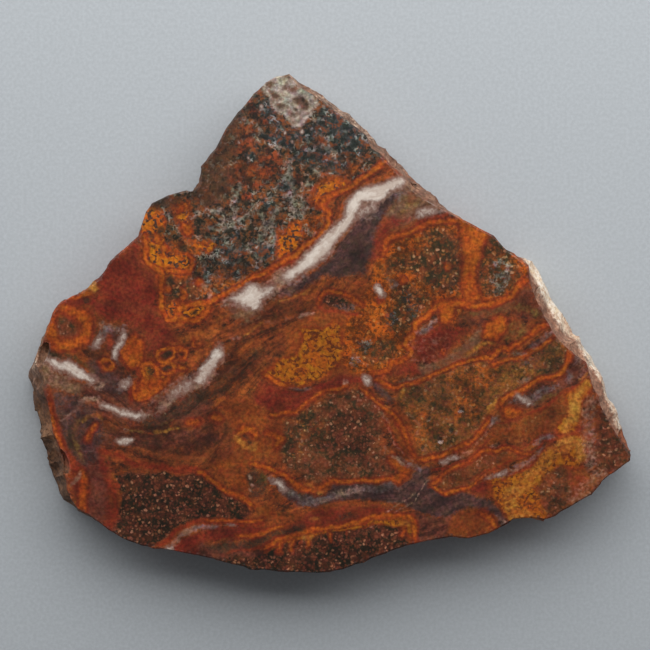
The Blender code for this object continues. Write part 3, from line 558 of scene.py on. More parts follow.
RIMS: tuple[Mark, ...] = (
    Stroke(T.ORANGE, (-28, 13.2, -27.7, 11.5, -27.6, 10, -27, 9, -26, 8.2, -25.2, 7.8, -25.2, 6.5, -25.5, 5,
        -25.3, 3, -25, 1.8, -24.5, 0.8, -23.5, 0.7, -23, 1.2, -22.2, 2.6, -21, 3, -19.5, 3, -18, 3.4,
        -17, 4, -16, 4.5, -15, 4.9, -14, 5.5, -13, 6.1, -11.5, 6.8, -10, 7.7, -9, 8.2), 0.2, 1.0, 0.61),
    Stroke(T.SCARLET, (-17.4, 3.4, -15, 4.5, -13.4, 5.3, -12, 6.2, -10.4, 7, -8.8, 8, -6.8, 9.2,
        -4.8, 10.2), 0.35, 0.9, 0.65),
    Stroke(T.ORANGE, (-9, 8.2, -8, 9, -5, 10.6, -3.5, 11.8, -1.5, 13.3, 0, 15.2, -0.3, 16.5, -1.7, 17.6,
        0, 19.2, 2.5, 20.3, 4, 21.2, 6, 22.5, 7.5, 24.3, 8.3, 24.8), 0.25, 0.95, 0.58),
    Stroke(T.ORANGE, (-22.2, 1.5, -21.5, 0.6, -20.5, 0.4, -19.5, 1, -18.7, 1.8, -18.3, 2.8), 0.25, 1.0,
        0.65),
    Stroke(T.ORANGE, (-10, -7.8, -8.6, -8.5, -7.4, -9.1, -6.5, -9.3), 0.2, 1.0, 0.58),
    Stroke(T.ORANGE, (-1.7, 3, -1.5, 4.2, -0.2, 4.9, 1.6, 4.8, 3.4, 4, 4.6, 3), 0.25, 1.0, 0.43),
    Stroke(T.SCARLET, (-1.5, 2.8, -0.5, 2.2, 1, 1.8, 2.5, 1.5, 4.4, 1.6), 0.3, 1.0, 0.5),
    Stroke(T.ORANGE, (15.8, 3, 15, 2, 14.5, 1.2, 13.5, 0.5, 12.8, 0, 13, -1, 12.5, -2, 11.5, -2.3, 11.2, -3,
        12, -4, 11.8, -5, 11, -5.8, 10, -6, 9.3, -5.8, 8.8, -7, 7.5, -7.5, 6, -7.3), 0.2, 1.0, 0.54),
    Patch(T.ORANGE, (16.2, 3.2, 17.4, 3.4, 18.4, 3, 18.3, 1.6, 17.9, 0.4, 17.2, -0.1, 16.6, 0.8, 16.3, 2),
        0.35, 0.9),
    Stroke(T.ORANGE, (7.8, 10.6, 8.5, 12.4, 11, 13.5, 13, 14.5, 15, 15.1, 18, 15.4, 19, 15.2), 0.3, 0.9,
        0.58),
    Stroke(T.ORANGE, (15.8, 3, 18.5, 3.4, 20, 3.2, 22, 2.9, 25, 3.4, 27.5, 4.4, 29.5, 6.8), 0.25, 1.0,
        0.65),
    Patch(T.ORANGE, (19.4, 16, 22, 14.6, 23.6, 13.4, 22.6, 11.6, 21.9, 9, 21.5, 6.4, 22.6, 4.2, 20.6, 3.7,
        20, 6, 20.2, 9, 20.1, 12), 0.5, 0.75),
    Patch(T.ORANGE, (25.4, 1.4, 26.3, 0.6, 26.2, -0.9, 25.2, -2.4, 22.8, -2.1, 23.6, 0), 0.35, 0.9),
    Stroke(T.ORANGE, (7, -8.6, 8.5, -9, 10, -9.5, 12, -8.9, 14, -7.9, 16, -7.2, 17, -6.9, 18.5, -6.3,
        20, -5.7, 22, -5.2, 24, -5, 25, -4, 26, -3.6, 27, -3.9, 28.5, -2.7, 30.5, -1, 32.4, -0.1), 0.2, 0.9,
        0.4),
    Stroke(T.ORANGE, (24, -5.8, 28, -5.2, 31, -3.6, 33, -2.5), 0.25, 0.8, 0.43),
    Stroke(T.ORANGE, (35.7, -3.2, 36, -5, 35.5, -6.5, 34, -7.7, 31, -8.7, 28.5, -9.8, 26.5, -11.2,
        25, -12.6), 0.2, 1.0, 0.54),
    Stroke(T.ORANGE, (-0.5, -10, 1, -9.7, 2.5, -9.2), 0.25, 0.7, 0.32),
    Stroke(T.ORANGE, (-9, -13.5, -7, -13.2, -5, -13, -3.5, -12, -2, -10.7, -0.5, -10), 0.25, 0.9, 0.36),
    Stroke(T.SCARLET, (6.6, -10.6, 8.4, -12.2, 10.2, -14.2, 11.2, -16.8, 12.2, -19, 13, -20.4), 0.25, 0.85,
        0.3),
    Stroke(T.SCARLET, (7.8, -13.4, 9, -15.6, 9.9, -18, 11.6, -20), 0.25, 0.8, 0.3),
    Stroke(T.ORANGE, (4.8, -9.8, 6.8, -11.4, 9.2, -13.2, 10.8, -15.6, 11.8, -18.2, 12.8, -20.2), 0.25, 0.75,
        0.35),
    Stroke(T.ORANGE, (-12, -21, -10.5, -21.3, -8.5, -21.8, -7, -22.8, -5.5, -24, -4, -25, -2.4, -25.2), 0.2,
        0.95, 0.47),
    Stroke(T.ORANGE, (-2.2, -24.6, -1.1, -23.9, 0, -23.5, 4, -23.6, 7.5, -23.5, 10.2, -23.4, 11.8, -22),
        0.2, 0.95, 0.4),
    Stroke(T.ORANGE, (9.4, -20.4, 10.8, -21.8, 11.2, -22.4, 10, -23.2), 0.4, 0.7, 0.8),
    Patch(T.OCHRE, (-3, -24.4, -1.6, -24.5, -1.5, -25.4, -2.8, -25.2), 0.25),
    Stroke(T.ORANGE, (13, -20.5, 16, -20, 19, -18.7, 21.5, -17.6, 23, -15.7, 24.2, -14.4), 0.25, 0.75,
        0.43),
    Stroke(T.SCARLET, (15, -22, 18, -21.3, 21, -20, 23, -18.8, 24.6, -16.6), 0.25, 0.9, 0.29),
    Stroke(T.ORANGE, (15.2, -24.4, 17, -22.3, 20, -21, 23, -19.3, 26.5, -18.6, 28, -19, 30, -19.5), 0.25,
        0.8, 0.32),
    Stroke(T.ORANGE, (15.2, -24.4, 17.4, -25.3, 20, -25, 21.5, -24, 23.5, -22.6), 0.2, 0.95, 0.36),
    Stroke(T.SCARLET, (20.5, -23.2, 23, -22.2, 26, -21, 29, -20, 31, -18.6), 0.2, 0.85, 0.25),
    Stroke(T.SCARLET, (23.6, -18.8, 26, -18.2, 29, -18.3, 30.4, -17.4, 32, -16.7, 34.5, -16.4, 36.5, -16.2,
        38, -15.3, 40, -14.3), 0.2, 0.95, 0.32),
    Stroke(T.SCARLET, (25, -15.2, 28, -14.6, 30.5, -13.2, 33, -12, 35, -10.2, 37.5, -8.9), 0.25, 0.9, 0.36),
    Stroke(T.SCARLET, (31, -18.8, 32, -17.6, 34, -17.2), 0.3, 0.9, 0.43),
    Stroke(T.SCARLET, (24, -24.6, 26.4, -23.3, 29.4, -21.6, 31.4, -19.6), 0.25, 0.8, 0.36),
    Stroke(T.SCARLET, (-42.3, -9.6, -42.1, -12, -41.5, -15, -40.4, -17.8, -39.2, -20.6, -38.2, -23), 0.4,
        0.85, 1.3),
    Stroke(T.ORANGE, (-42.1, -11.6, -41.8, -14, -40.9, -16.8, -39.8, -19.2), 0.3, 0.7, 0.4),
    Patch(T.ORANGE, (-30.8, -2.6, -29.4, -1.9, -28.2, -2.4, -27.9, -3.6, -28, -5, -28.6, -6.2, -30, -6,
        -31, -4.8, -31.1, -3.6), 0.4, 0.85),
    Patch(T.ORANGE, (-28.5, -8.4, -27.4, -8.7, -26, -8.2, -25.4, -8.6, -26, -9.4, -27.6, -10.8,
        -28.5, -10.8), 0.4, 0.7),
    Stroke(T.OCHRE, (-29.6, -3, -29.4, -4.4), 0.6, 0.4, 0.6),
    Patch(T.GOLD, (-28.6, -6.2, -26.6, -5.6, -25.4, -7, -24.9, -8.2, -25.6, -9.2, -27.4, -11, -28.6, -11.2,
        -28.9, -9.6, -28.4, -8), 0.3, 0.95),
    Stroke(T.ORANGE, (-29.6, -8.8, -28.9, -11.2, -27.6, -11.2, -26, -10, -24.8, -8.6, -24.2, -7.8), 0.25,
        0.85, 0.5),
    Stroke(T.ORANGE, (-28.4, -6.6, -27.9, -8, -26.8, -8.5, -25.8, -7.8, -25.9, -6.4, -26.8, -5.8,
        -28.2, -6.2), 0.2, 0.9, 0.45),
    Stroke(T.ORANGE, (-26, -4.9, -25.8, -4, -24.4, -3.6, -23.4, -4.2, -23.4, -5.2, -24.6, -5.6,
        -25.8, -5.1), 0.2, 0.85, 0.35),
    Stroke(T.ORANGE, (-25.4, -6.2, -24.2, -5.7, -23.2, -6.3, -23.4, -7.2, -24.6, -7.4, -25.4, -6.8), 0.2,
        0.8, 0.35),
    Stroke(T.ORANGE, (-23, -4.2, -22.2, -3.6, -21.4, -4.2, -21.6, -5.2, -22.6, -5.4), 0.2, 0.7, 0.3),
    Stroke(T.SCARLET, (-29.8, -1.9, -28.2, -1.9, -27.8, -3.4, -28, -4.8, -28.8, -6, -29, -7.6), 0.25, 0.85,
        0.4),
    Spots(T.PITCH, (-24.7, -4.7, -24.2, -4.7, -24.5, -6.5, -24, -6.5, -26.9, -7, -26.7, -7.5), 0.3, 0.75,
        0.35),
    Stroke(T.PITCH, (-27, -14.8, -24.5, -13.8, -22, -12.4, -18.8, -10.6), 0.8, 0.65, 1.8),
    Stroke(T.PITCH, (-16.5, -9.6, -13.6, -6.6, -11, -4.6), 0.9, 0.5, 1.6),
    Stroke(T.SCARLET, (-33.3, -1.6, -33, -3.5), 0.3, 0.9, 0.72),
    Stroke(T.SCARLET, (-29.8, -12, -29.8, -10.4, -30, -9), 0.35, 0.9, 0.72),
    Stroke(T.ORANGE, (-25.5, -4.2, -24, -3.8, -22.5, -3.2), 0.2, 0.8, 0.29),
    Stroke(T.ORANGE, (-22.5, -6.5, -21.6, -7), 0.25, 0.8, 0.5),
    Stroke(T.ORANGE, (-20.3, -2.2, -20.7, -3, -20, -3.6), 0.2, 0.8, 0.29),
    Stroke(T.SCARLET, (-34.6, -19, -32, -19.6, -30.5, -20.8, -27, -21.2, -23, -21.9, -19.6, -22.2), 0.45,
        0.95, 1.01),
    Stroke(T.SCARLET, (-33.2, -23.6, -32.2, -26, -32.4, -29, -33.6, -31.4), 0.45, 0.9, 0.94),
    Stroke(T.ORANGE, (-19.8, -22.3, -18.9, -22.6, -18, -23.8, -15.5, -25, -13.6, -25.8, -12.4, -27,
        -11.3, -27.8), 0.2, 0.95, 0.5),
    Stroke(T.OCHRE, (-14, -25.5, -13, -26.2, -12.3, -27.2), 0.2, 0.9, 0.43),
    Stroke(T.SCARLET, (-26, -33.4, -24.4, -32.4, -22.6, -31, -20, -30, -17, -29.8, -13, -29.9, -10, -29.8),
        0.3, 0.95, 0.72),
    Stroke(T.ORANGE, (-18.8, -29.6, -16.4, -29.6, -14.2, -29.5, -11.8, -29.7, -9.8, -29.3), 0.2, 0.8, 0.32),
    Stroke(T.ORANGE, (-14, -32, -12, -31.8, -9, -31, -7, -30.3), 0.3, 0.8, 0.43),
    Stroke(T.SCARLET, (-16, -34.4, -12, -33.6, -9, -32.5, -6, -31.4, -2, -30.6, 2, -29.7, 6, -29.2), 0.3,
        0.9, 0.5),
    Stroke(T.ORANGE, (-9.6, -33.4, -8, -32.8, -6, -31.9, -4, -31.1, -1, -30.7, 0.6, -30.3, 3, -29.9,
        6, -29.2, 8, -28.8), 0.25, 0.9, 0.5),
    Stroke(T.ORANGE, (8, -28.8, 10, -28.8, 12, -29.5, 12.8, -31, 12.8, -32.8), 0.3, 0.9, 0.6),
    Stroke(T.ORANGE, (22.6, -28, 24.2, -29.4, 25.2, -30.7), 0.3, 0.7, 0.5),
    Stroke(T.ORANGE, (-0.2, -31.4, 0, -32.8), 0.2, 0.9, 0.29),
    Stroke(T.ORANGE, (-7.4, -33, -7.7, -34.4), 0.25, 0.6, 0.4),
    Stroke(T.ORANGE, (-5.6, -32.6, -5.8, -34), 0.25, 0.65, 0.35),
    Stroke(T.SCARLET, (-4.6, -32.4, -4.6, -33.8), 0.25, 0.6, 0.4),
    Stroke(T.ORANGE, (-3.4, -32, -3.5, -33.3), 0.25, 0.65, 0.35),
    Stroke(T.SCARLET, (2.6, -30.9, 2.8, -32.2), 0.25, 0.6, 0.35),
    Stroke(T.ORANGE, (10.8, -30.8, 11, -32), 0.25, 0.7, 0.35),
    Stroke(T.SCARLET, (12.6, 15.2, 15, 15.8, 18.4, 17), 0.3, 0.9, 0.65),
    Patch(T.AMBER, (35.4, -22, 38.6, -22.4, 40, -23.4, 37.6, -25.6, 36, -27.4, 35.6, -24.4), 0.8, 0.8),
    Patch(T.SCARLET, (36, -22.6, 38.4, -23.2, 36.6, -25.6), 0.8, 0.6),
    Stroke(T.SCARLET, (23.2, -4.4, 24.8, -4.1), 0.25, 0.8, 0.43),
    Spots(T.SCARLET, (-32, -24.3, 7.3, 3.2, 8, 3.4), 0.25, 0.9, 0.5),
    Spots(T.SCARLET, (16.9, -3.9,), 0.25, 0.9, 0.35),
    Patch(T.SCARLET, (41, -13.4, 43.4, -17, 45.4, -19.4, 43.4, -22, 40.6, -21.6, 40.2, -17), 0.8, 0.2),
    Patch(T.SCARLET, (13.4, -2.4, 16, -1, 19.6, -1.2, 18, -3.6, 16, -5, 12.6, -5.4), 0.9, 0.25),
    Patch(T.BLUSH, (12.4, -2.6, 15, -2.2, 17.6, -2, 17, -4.4, 14, -5.2, 12, -5), 0.9, 0.12),
)

ACCENTS: tuple[Mark, ...] = (
    Stroke(T.ORANGE, (-40, 2.4, -38.5, 1.9, -37.2, 1.3, -36.5, 0.4, -36.6, -1, -37, -2.2, -38.4, -3.1,
        -40.6, -3.2, -42, -2.4), 0.5, 0.75, 1.1),
    Stroke(T.ORANGE, (-41.6, 2, -42.1, 0, -42, -2), 0.5, 0.75, 1.2),
    Patch(T.OCHRE, (-37.8, 4.7, -36.4, 5.6, -35.4, 7, -35, 5.4, -36, 4.6), 0.3, 0.9),
    Stroke(T.CRIMSON, (-39.6, 2.9, -37.6, 3.5, -35.4, 3.5), 0.4, 0.95, 1.3),
    Stroke(T.ORANGE, (-39.6, 4.1, -38, 4.4, -36, 4.9), 0.25, 0.9, 0.6),
    Stroke(T.PITCH, (-42.2, -4.3, -41.2, -4.6, -40, -4.8, -38.2, -5), 0.35, 0.8, 0.7),
    Stroke(T.OLIVE, (-39.4, -4.7, -38.2, -5, -37, -6, -35.5, -7.4), 0.3, 0.75, 0.5),
    Stroke(T.OCHRE, (-37.3, -14.7, -36.3, -13.9, -35, -13.8, -34.3, -14.3), 0.25, 0.5, 0.3),
    Stroke(T.ORANGE, (-36.5, -17.2, -36, -16.2, -35.4, -15.4), 0.3, 0.85, 0.8),
    Stroke(T.OLIVE, (-38, -14.4, -38.3, -16.6, -38.1, -18.8, -37.2, -20.4), 0.3, 0.8, 0.7),
    Stroke(T.PITCH, (-38.8, -15, -39, -17.4, -38.2, -20), 0.3, 0.7, 0.6),
    Stroke(T.ORANGE, (-37.2, -22.4, -36.9, -25, -37.2, -27.6), 0.4, 0.8, 1.0),
    Stroke(T.BLUSH, (-39, -24.3, -37.8, -23.2, -37.5, -22.3), 0.25, 0.8, 0.5),
    Stroke(T.BLUSH, (-40.4, -14.6, -38.6, -13.2, -37.2, -12.1), 0.25, 0.6, 0.3),
    Stroke(T.ORANGE, (-34.5, -6, -34, -5.3, -33.2, -5.3, -32.8, -6, -33.2, -6.8, -34, -6.9, -34.5, -6.2),
        0.25, 0.8, 0.5),
    Stroke(T.OLIVE, (-30.4, -15.8, -29.4, -15.8, -28.2, -15.9), 0.2, 0.8, 0.34),
    Stroke(T.OCHRE, (-25.6, -14.8, -23.4, -14.3), 0.25, 0.35, 0.3),
    Stroke(T.OCHRE, (-26.4, -15.9, -24.6, -16.1, -22.6, -15.8), 0.25, 0.45, 0.25),
    Spots(T.ORANGE, (-20.8, -14.6, -20, -14.8, -17.4, -14.2, -16.6, -14.3), 0.35, 0.6, 0.45),
    Stroke(T.OCHRE, (-7.6, 3.3, -6.4, 3.8, -5.4, 4.2, -4.2, 4.6, -3, 5.2), 0.2, 0.55, 0.22),
    Stroke(T.OCHRE, (-13, -1.6, -12, -0.9, -11, -0.2, -10, 0.1), 0.2, 0.5, 0.28),
    Stroke(T.BLUSH, (-10, 0.1, -8, 0.5, -6, 0.9), 0.2, 0.25, 0.2),
    Stroke(T.OLIVE, (-8, 7.9, -7, 7.7, -6.4, 8), 0.3, 0.8, 0.68),
    Stroke(T.OLIVE, (-6.2, 5.4, -5, 6), 0.2, 0.7, 0.34),
    Stroke(T.OLIVE, (11, 18, 12.4, 18.4, 14, 18.5), 0.3, 0.85, 0.42),
    Stroke(T.OLIVE, (10.6, 19, 11.4, 19.2), 0.3, 0.8, 0.42),
    Stroke(T.OLIVE, (10.4, 16.6, 11.4, 17), 0.3, 0.8, 0.68),
    Patch(T.OLIVE, (26.2, -0.3, 28, 0.2, 29.8, -0.8, 28.6, -2.2, 26.4, -2.4), 0.6, 0.6),
    Stroke(T.OLIVE, (24.4, 2.4, 27, 2.6, 29.6, 2.2, 31, 1.4), 0.5, 0.55, 0.9),
    Stroke(T.OLIVE, (19.4, 1.6, 21.6, 1.8, 23.4, 2.2), 0.4, 0.5, 0.5),
    Stroke(T.OCHRE, (20.6, -4.3, 22.4, -3.4, 24.4, -2.8), 0.3, 0.85, 0.59),
    Stroke(T.OLIVE, (30.8, -11.8, 32, -11.2, 33.4, -10.6), 0.3, 0.8, 0.68),
    Stroke(T.ORANGE, (17, -3.5, 16.6, -4, 17, -4.5, 17.4, -4, 17, -3.5), 0.15, 0.9, 0.25),
    Stroke(T.OCHRE, (24, -13.6, 24.1, -12.8, 24.8, -12), 0.2, 1.0, 0.77),
    Spots(T.OCHRE, (8.7, -12.5, 8.4, -12.2), 0.2, 0.9, 0.35),
    Stroke(T.OCHRE, (11, -9.8, 10.6, -11.3), 0.25, 0.7, 0.42),
    Stroke(T.OCHRE, (26.8, -7.6, 25.8, -9.2, 25.4, -10), 0.7, 0.3, 0.8),
    Stroke(T.OCHRE, (28.6, -7, 27.2, -8.6), 0.5, 0.25, 0.5),
    Stroke(T.OCHRE, (29.6, -7, 30.4, -7.6), 0.3, 0.8, 0.42),
    Stroke(T.OCHRE, (37.4, -8.4, 38.6, -7.4), 0.25, 0.8, 0.42),
    Stroke(T.OCHRE, (38.2, -9.4, 37, -10.8, 36.8, -12.6, 36.2, -14.4, 35.4, -15.4), 0.5, 0.85, 1.4),
    Stroke(T.OCHRE, (35.2, -17.4, 37, -17.6, 37.6, -19.4), 0.5, 0.8, 1.5),
    Stroke(T.OCHRE, (35, -18.6, 32.4, -20.4, 30.6, -22.4, 29, -24.4, 27, -25.6, 27.4, -28, 29.6, -29), 0.7,
        0.5, 1.6),
    Patch(T.ORANGE, (25.6, -12.6, 27.2, -12.7, 28.8, -13.3, 28.2, -14, 26.4, -14.3), 0.3, 0.7),
    Stroke(T.OCHRE, (-13.8, -16.4, -13.7, -17.6, -12.8, -18.4, -11.6, -18.6, -11.4, -17.6), 0.3, 0.9, 0.77),
    Stroke(T.ORANGE, (-13.6, -16.4, -13, -15.4, -11.8, -15.6, -11.2, -16.8), 0.3, 0.8, 0.7),
    Stroke(T.ORANGE, (-9.6, -16.2, -8.4, -16.3, -7.4, -17.2, -7.9, -18.3), 0.3, 0.8, 0.7),
    Spots(T.PITCH, (-12.8, -16.8, -12.2, -17.6), 0.2, 0.8, 0.35),
    Stroke(T.OCHRE, (20.6, -24.2, 21.6, -23.6, 22.8, -23), 0.25, 0.85, 0.42),
    Stroke(T.OCHRE, (-4.2, -31.7, -3, -31.8), 0.4, 0.9, 0.9),
    Stroke(T.OCHRE, (7, -29.3, 8.2, -29), 0.3, 0.8, 0.51),
    Stroke(T.OCHRE, (10.6, -30.1, 12, -30.1), 0.3, 0.8, 0.68),
    Stroke(T.OCHRE, (-2.8, -29.4, -1.6, -29.2), 0.25, 0.7, 0.42),
    Patch(T.OLIVE, (-11, -23.2, -9.8, -22.6, -9, -23.4, -9.8, -24.2), 0.4, 0.7),
    Patch(T.PITCH, (-12.6, -22.4, -11, -21.8, -9.8, -22.6, -9.7, -24.6, -10.8, -26, -12.2, -25.6), 0.5,
        0.75),
    Stroke(T.SCARLET, (-11.3, -22.6, -11.3, -25), 0.3, 0.6, 0.3),
    Spots(T.BLUSH, (-11.9, -23, -11.8, -24, -12.2, -24.7), 0.2, 0.8, 0.25),
    Stroke(T.PITCH, (-17.5, -33.7, -14, -33.5, -12, -33, -9, -31.8, -6, -31.1, -4, -30.3), 0.35, 0.8, 0.85),
    Stroke(T.PITCH, (1.6, -28.7, 3.6, -28.8), 0.4, 0.6, 0.6),
    Spots(T.PITCH, (-36.7, 3.8,), 0.35, 0.75, 0.5),
    Spots(T.PITCH, (-26.8, -7.2, -25.5, 14, -24.5, 17.5, -22, 11.5, -23.8, 6.5), 0.35, 0.8, 0.6),
    Spots(T.PLUM, (-26.2, 10, -22.8, 6, -21.3, 6, -23, 16, -22.5, 13, -24, 3), 0.35, 0.8, 0.7),
    Spots(T.PITCH, (-20.3, 4, -20.5, 1.7, -27, 13.3, -26.7, 11.7, -23.6, 2), 0.25, 0.9, 0.4),
    Stroke(T.PITCH, (-26.4, 17.8, -24.6, 18.6, -23.2, 18.6), 0.6, 0.8, 1.6),
    Stroke(T.ORANGE, (-21, 10.2, -20.5, 9.5, -21, 8, -22, 7.7, -24.4, 8), 0.2, 0.9, 0.5),
    Stroke(T.CINDER, (-20.8, 12.4, -18.5, 11.2, -17.4, 11.9), 0.2, 0.9, 0.5),
    Stroke(T.ORANGE, (-22, 5.4, -21.6, 4.4, -22.4, 3.4), 0.2, 0.8, 0.5),
    Spots(T.ORANGE, (-22.5, 17.5, -22, 15, -21.5, 14, -19.7, 6.3, 10.8, 6.5, 17.7, 8.7, -24.8, 11.6,
        -26, 13, -24.2, 5), 0.25, 0.9, 0.5),
    # Dark spots in the face's pits: painted shade in the hollows.
    Spots(T.PITCH, (19.6, -12.8, 16.7, -17.3, 14, -18.5, 18, -15.8, 14.8, -14.2), 0.15, 1.0, 0.35),
    Stroke(T.RUSSET, (-8.6, 34.9, -8.2, 34.3, -7.4, 34), 0.25, 0.95, 1.1),
    Stroke(T.RUSSET, (-9.6, 36.2, -8.9, 35.9, -8.4, 36.2), 0.25, 0.85, 0.8),
    Stroke(T.RUSSET, (-6.8, 37.2, -5.8, 37), 0.25, 0.85, 0.9),
    Stroke(T.RUSSET, (-8.2, 32.5, -7.4, 32.3, -6.8, 32.6), 0.25, 0.9, 0.8),
    Patch(T.RUSSET, (-5.9, 33.9, -4.6, 34.2, -3.4, 33.8, -3.1, 32.8, -3.7, 31.9, -4.6, 32.2, -4.8, 33), 0.3,
        0.95),
    Stroke(T.RUSSET, (-6.1, 31.4, -5.4, 31.1), 0.25, 0.85, 0.9),
    Stroke(T.RUSSET, (-6.6, 35.5, -5.6, 35, -4.6, 35.6), 0.3, 0.8, 0.9),
    Spots(T.PITCH, (-4.1, 33.7, -3.7, 33, -5.3, 32.3), 0.25, 0.85, 0.35),
    Patch(T.CHAR, (13.4, 14, 17.4, 14.2, 19.6, 13, 19.7, 5.6, 17.4, 4.6, 15, 5.4, 12.4, 7.6, 9.6, 8, 8.2, 7,
        9, 9.6, 12.4, 10.4, 14.6, 11.4), 0.8),
    Patch(T.PITCH, (14.6, 9, 16, 9.6, 16.4, 7, 15, 6.4), 0.8, 0.5),
    Patch(T.PITCH, (17.8, 12.4, 19.4, 12.4, 19.4, 6, 18, 6), 0.8, 0.5),
    Stroke(T.CRIMSON, (15, 4.9, 12.8, 5, 10.6, 4.2), 0.6, 0.6, 1.0),
    Patch(T.CHAR, (22.2, 11.4, 24.2, 13, 26.6, 11.4, 28.6, 8.6, 28.2, 6, 25.6, 4.4, 23.4, 4.6, 22, 6.4,
        22, 8.4), 0.5, 0.9),
    Patch(T.CHAR, (9.2, 5.4, 12, 6, 14.8, 4, 13.8, 1.6, 12, -0.6, 9.6, -1.8, 8.6, 0.6, 9.6, 3), 0.7, 0.75),
    Patch(T.CHAR, (5.8, -3, 9.4, -2.4, 10.4, -4.6, 8.4, -5.8, 4.6, -5.6, 4.4, -4), 0.7, 0.8),
    Spots(T.SLATE, (9.2, 0.5, 11.6, 4, 12.4, 2, 5.2, -3.2, 3.6, -5.6), 0.5, 0.42, 0.7),
    Patch(T.PITCH, (12.6, -9.6, 16.6, -8.6, 18.4, -10.6, 15.6, -12.8, 12.4, -12.2), 1.0, 0.4),
    Patch(T.PITCH, (30.6, -4.2, 34, -3.6, 34.8, -5.6, 32, -7.4, 30, -6), 0.8, 0.4),
)

WALL_CRUSTS: tuple[Mark, ...] = (
    Stroke(T.CREAM, (31.6, 9.4, 32.6, 7.6, 34, 5, 35.6, 2.4, 37, 0, 38, -1.4), 0.6, 1.0, 3.0),
    Stroke(T.CREAM, (38, -1.4, 39.8, -4, 41.8, -7.8, 44, -13, 45.2, -16.6), 0.5, 0.7, 1.4),
    Stroke(T.ROSE, (31, 6.6, 32.4, 3.4, 34.6, -1, 37, -3.6, 39, -7.6, 41, -12, 43.4, -17), 0.5, 0.9, 3.0),
    # Painted shade on the north-east wall, with the rose crust laid over it.
    Stroke(T.PAINTED_SHADE, (-6, 38.2, -2, 35.6, 5, 30, 10, 25, 15, 20, 19, 16.8), 0.6, 0.6, 1.6),
    Stroke(T.ROSE, (-6, 38.2, -2, 35.6, 5, 30, 10, 25, 15, 20, 19, 16.8), 0.5, 0.6, 4.0),
    Stroke(T.CREAM, (-1, 35, 4, 31.4, 8, 27.6), 0.6, 0.18, 1.2),
    Stroke(T.BARK, (-43.6, -2, -46, -8, -45, -13, -43, -21, -41, -26, -38.6, -28), 0.6, 1.0, 6.5),
    # A dark line along the north-west arris and the wall just below it: painted shade.
    Stroke(T.PITCH, (-42.6, 2, -40.6, 3.9, -36.6, 5.9, -33, 9.9, -28.9, 13.9, -27.9, 17.4, -25, 19.6,
        -21, 20.4, -20, 23, -16, 28.2, -12.6, 33.4, -9.2, 37.4, -7, 38.4), 0.25, 0.85, 0.3),
    # Beige and rose crust on the upper left wall, made pale enough to read as lit: partly the wall's colour,
    # partly painted light.
    Stroke(T.CREAM, (-45.2, -5.2, -46, -8.6, -45.8, -12.4), 0.9, 0.85, 2.4),
    Stroke(T.ROSE, (-44, -4.4, -45.2, -8, -45, -12.4), 0.9, 0.95, 3.4),
    Spots(T.CREAM, (-41.9, -20.4,), 0.4, 0.6, 0.5),
    # The shade strokes below are painted shade: under the north-west and north-east arris, and on the lower
    # left wall.
    Stroke(T.PAINTED_SHADE, (-42.5, 1.6, -41.6, 2.8, -39.6, 4.4, -36.6, 6.2, -33.2, 10.2, -29.4, 13.6, -28.3, 17.4,
        -25, 20, -21, 20.8, -20.4, 23, -16.4, 28.4, -13, 33.8, -9.6, 37.4, -8, 38.2), 0.6, 0.9, 1.4),
    Stroke(T.PAINTED_SHADE, (-45.6, -13.6, -44.8, -17, -43.2, -21, -41, -25), 1.2, 0.3, 4.0),
    Stroke(T.PAINTED_SHADE, (19.4, 16.8, 24, 13.6, 26.4, 11.4, 28.2, 10.2), 0.6, 0.8, 1.2),
)

FLOW_LINES: tuple[tuple[float, Route], ...] = (
    (18.0, (-30, 12, -22, 3.5, -15, 5.5, -8, 9.8, 0, 15, 0, 19, 8, 25)),
    (14.0, (-34, 2, -26, -1, -17, 2, -10, 4.5, -4, 8.5, 1, 13.5, 4, 18, 12, 21.5)),
    (9.0, (-43, -4, -36, -8, -30, -13, -24, -11, -16, -4, -12, -1, -5, 1, 0, 8, 8, 15, 16, 17)),
    (4.0, (-36, -14, -26, -17, -15, -10, -9, -5.5, -4, -0.5, 2, 1.5, 8, 8, 14, 14.5)),
    (0.0, (-34, -19, -20, -22, -13, -15, -9.5, -8.5, -5, -10, 1, -9, 8, -7, 12, -2, 16, 1, 22, 3, 29, 7)),
    (-4.0, (-12, -21, -7, -13.5, -3.5, -12, 0, -10, 7, -9, 10.5, -9.5, 17, -7, 24, -5, 27, -3.6, 32, 0)),
    (-12.0, (-25, -34, -18, -30.5, -10, -30, -5, -27, 2, -25, 10, -24, 14, -21, 21, -18, 25, -14, 30, -10,
        36, -5)),
    (-17.0, (-17, -33.5, -6, -30.8, 3, -30, 9, -28.5, 15, -27, 22, -23.5, 28, -21, 33, -18, 39, -14.5,
        42, -11)),
)


@dataclass(frozen=True)
class Pit:
    """A small open hollow in the polished face, in the drawing's millimetres."""

    x: float
    y: float
    radius: float
    depth: float


PITS = (
    Pit(19.6, -12.8, 0.45, 0.2),
    Pit(16.7, -17.4, 0.4, 0.3),
    Pit(14.0, -18.5, 0.5, 0.1),
    Pit(18.0, -15.8, 0.35, 0.08),
    Pit(14.8, -14.2, 0.3, 0.1),
)


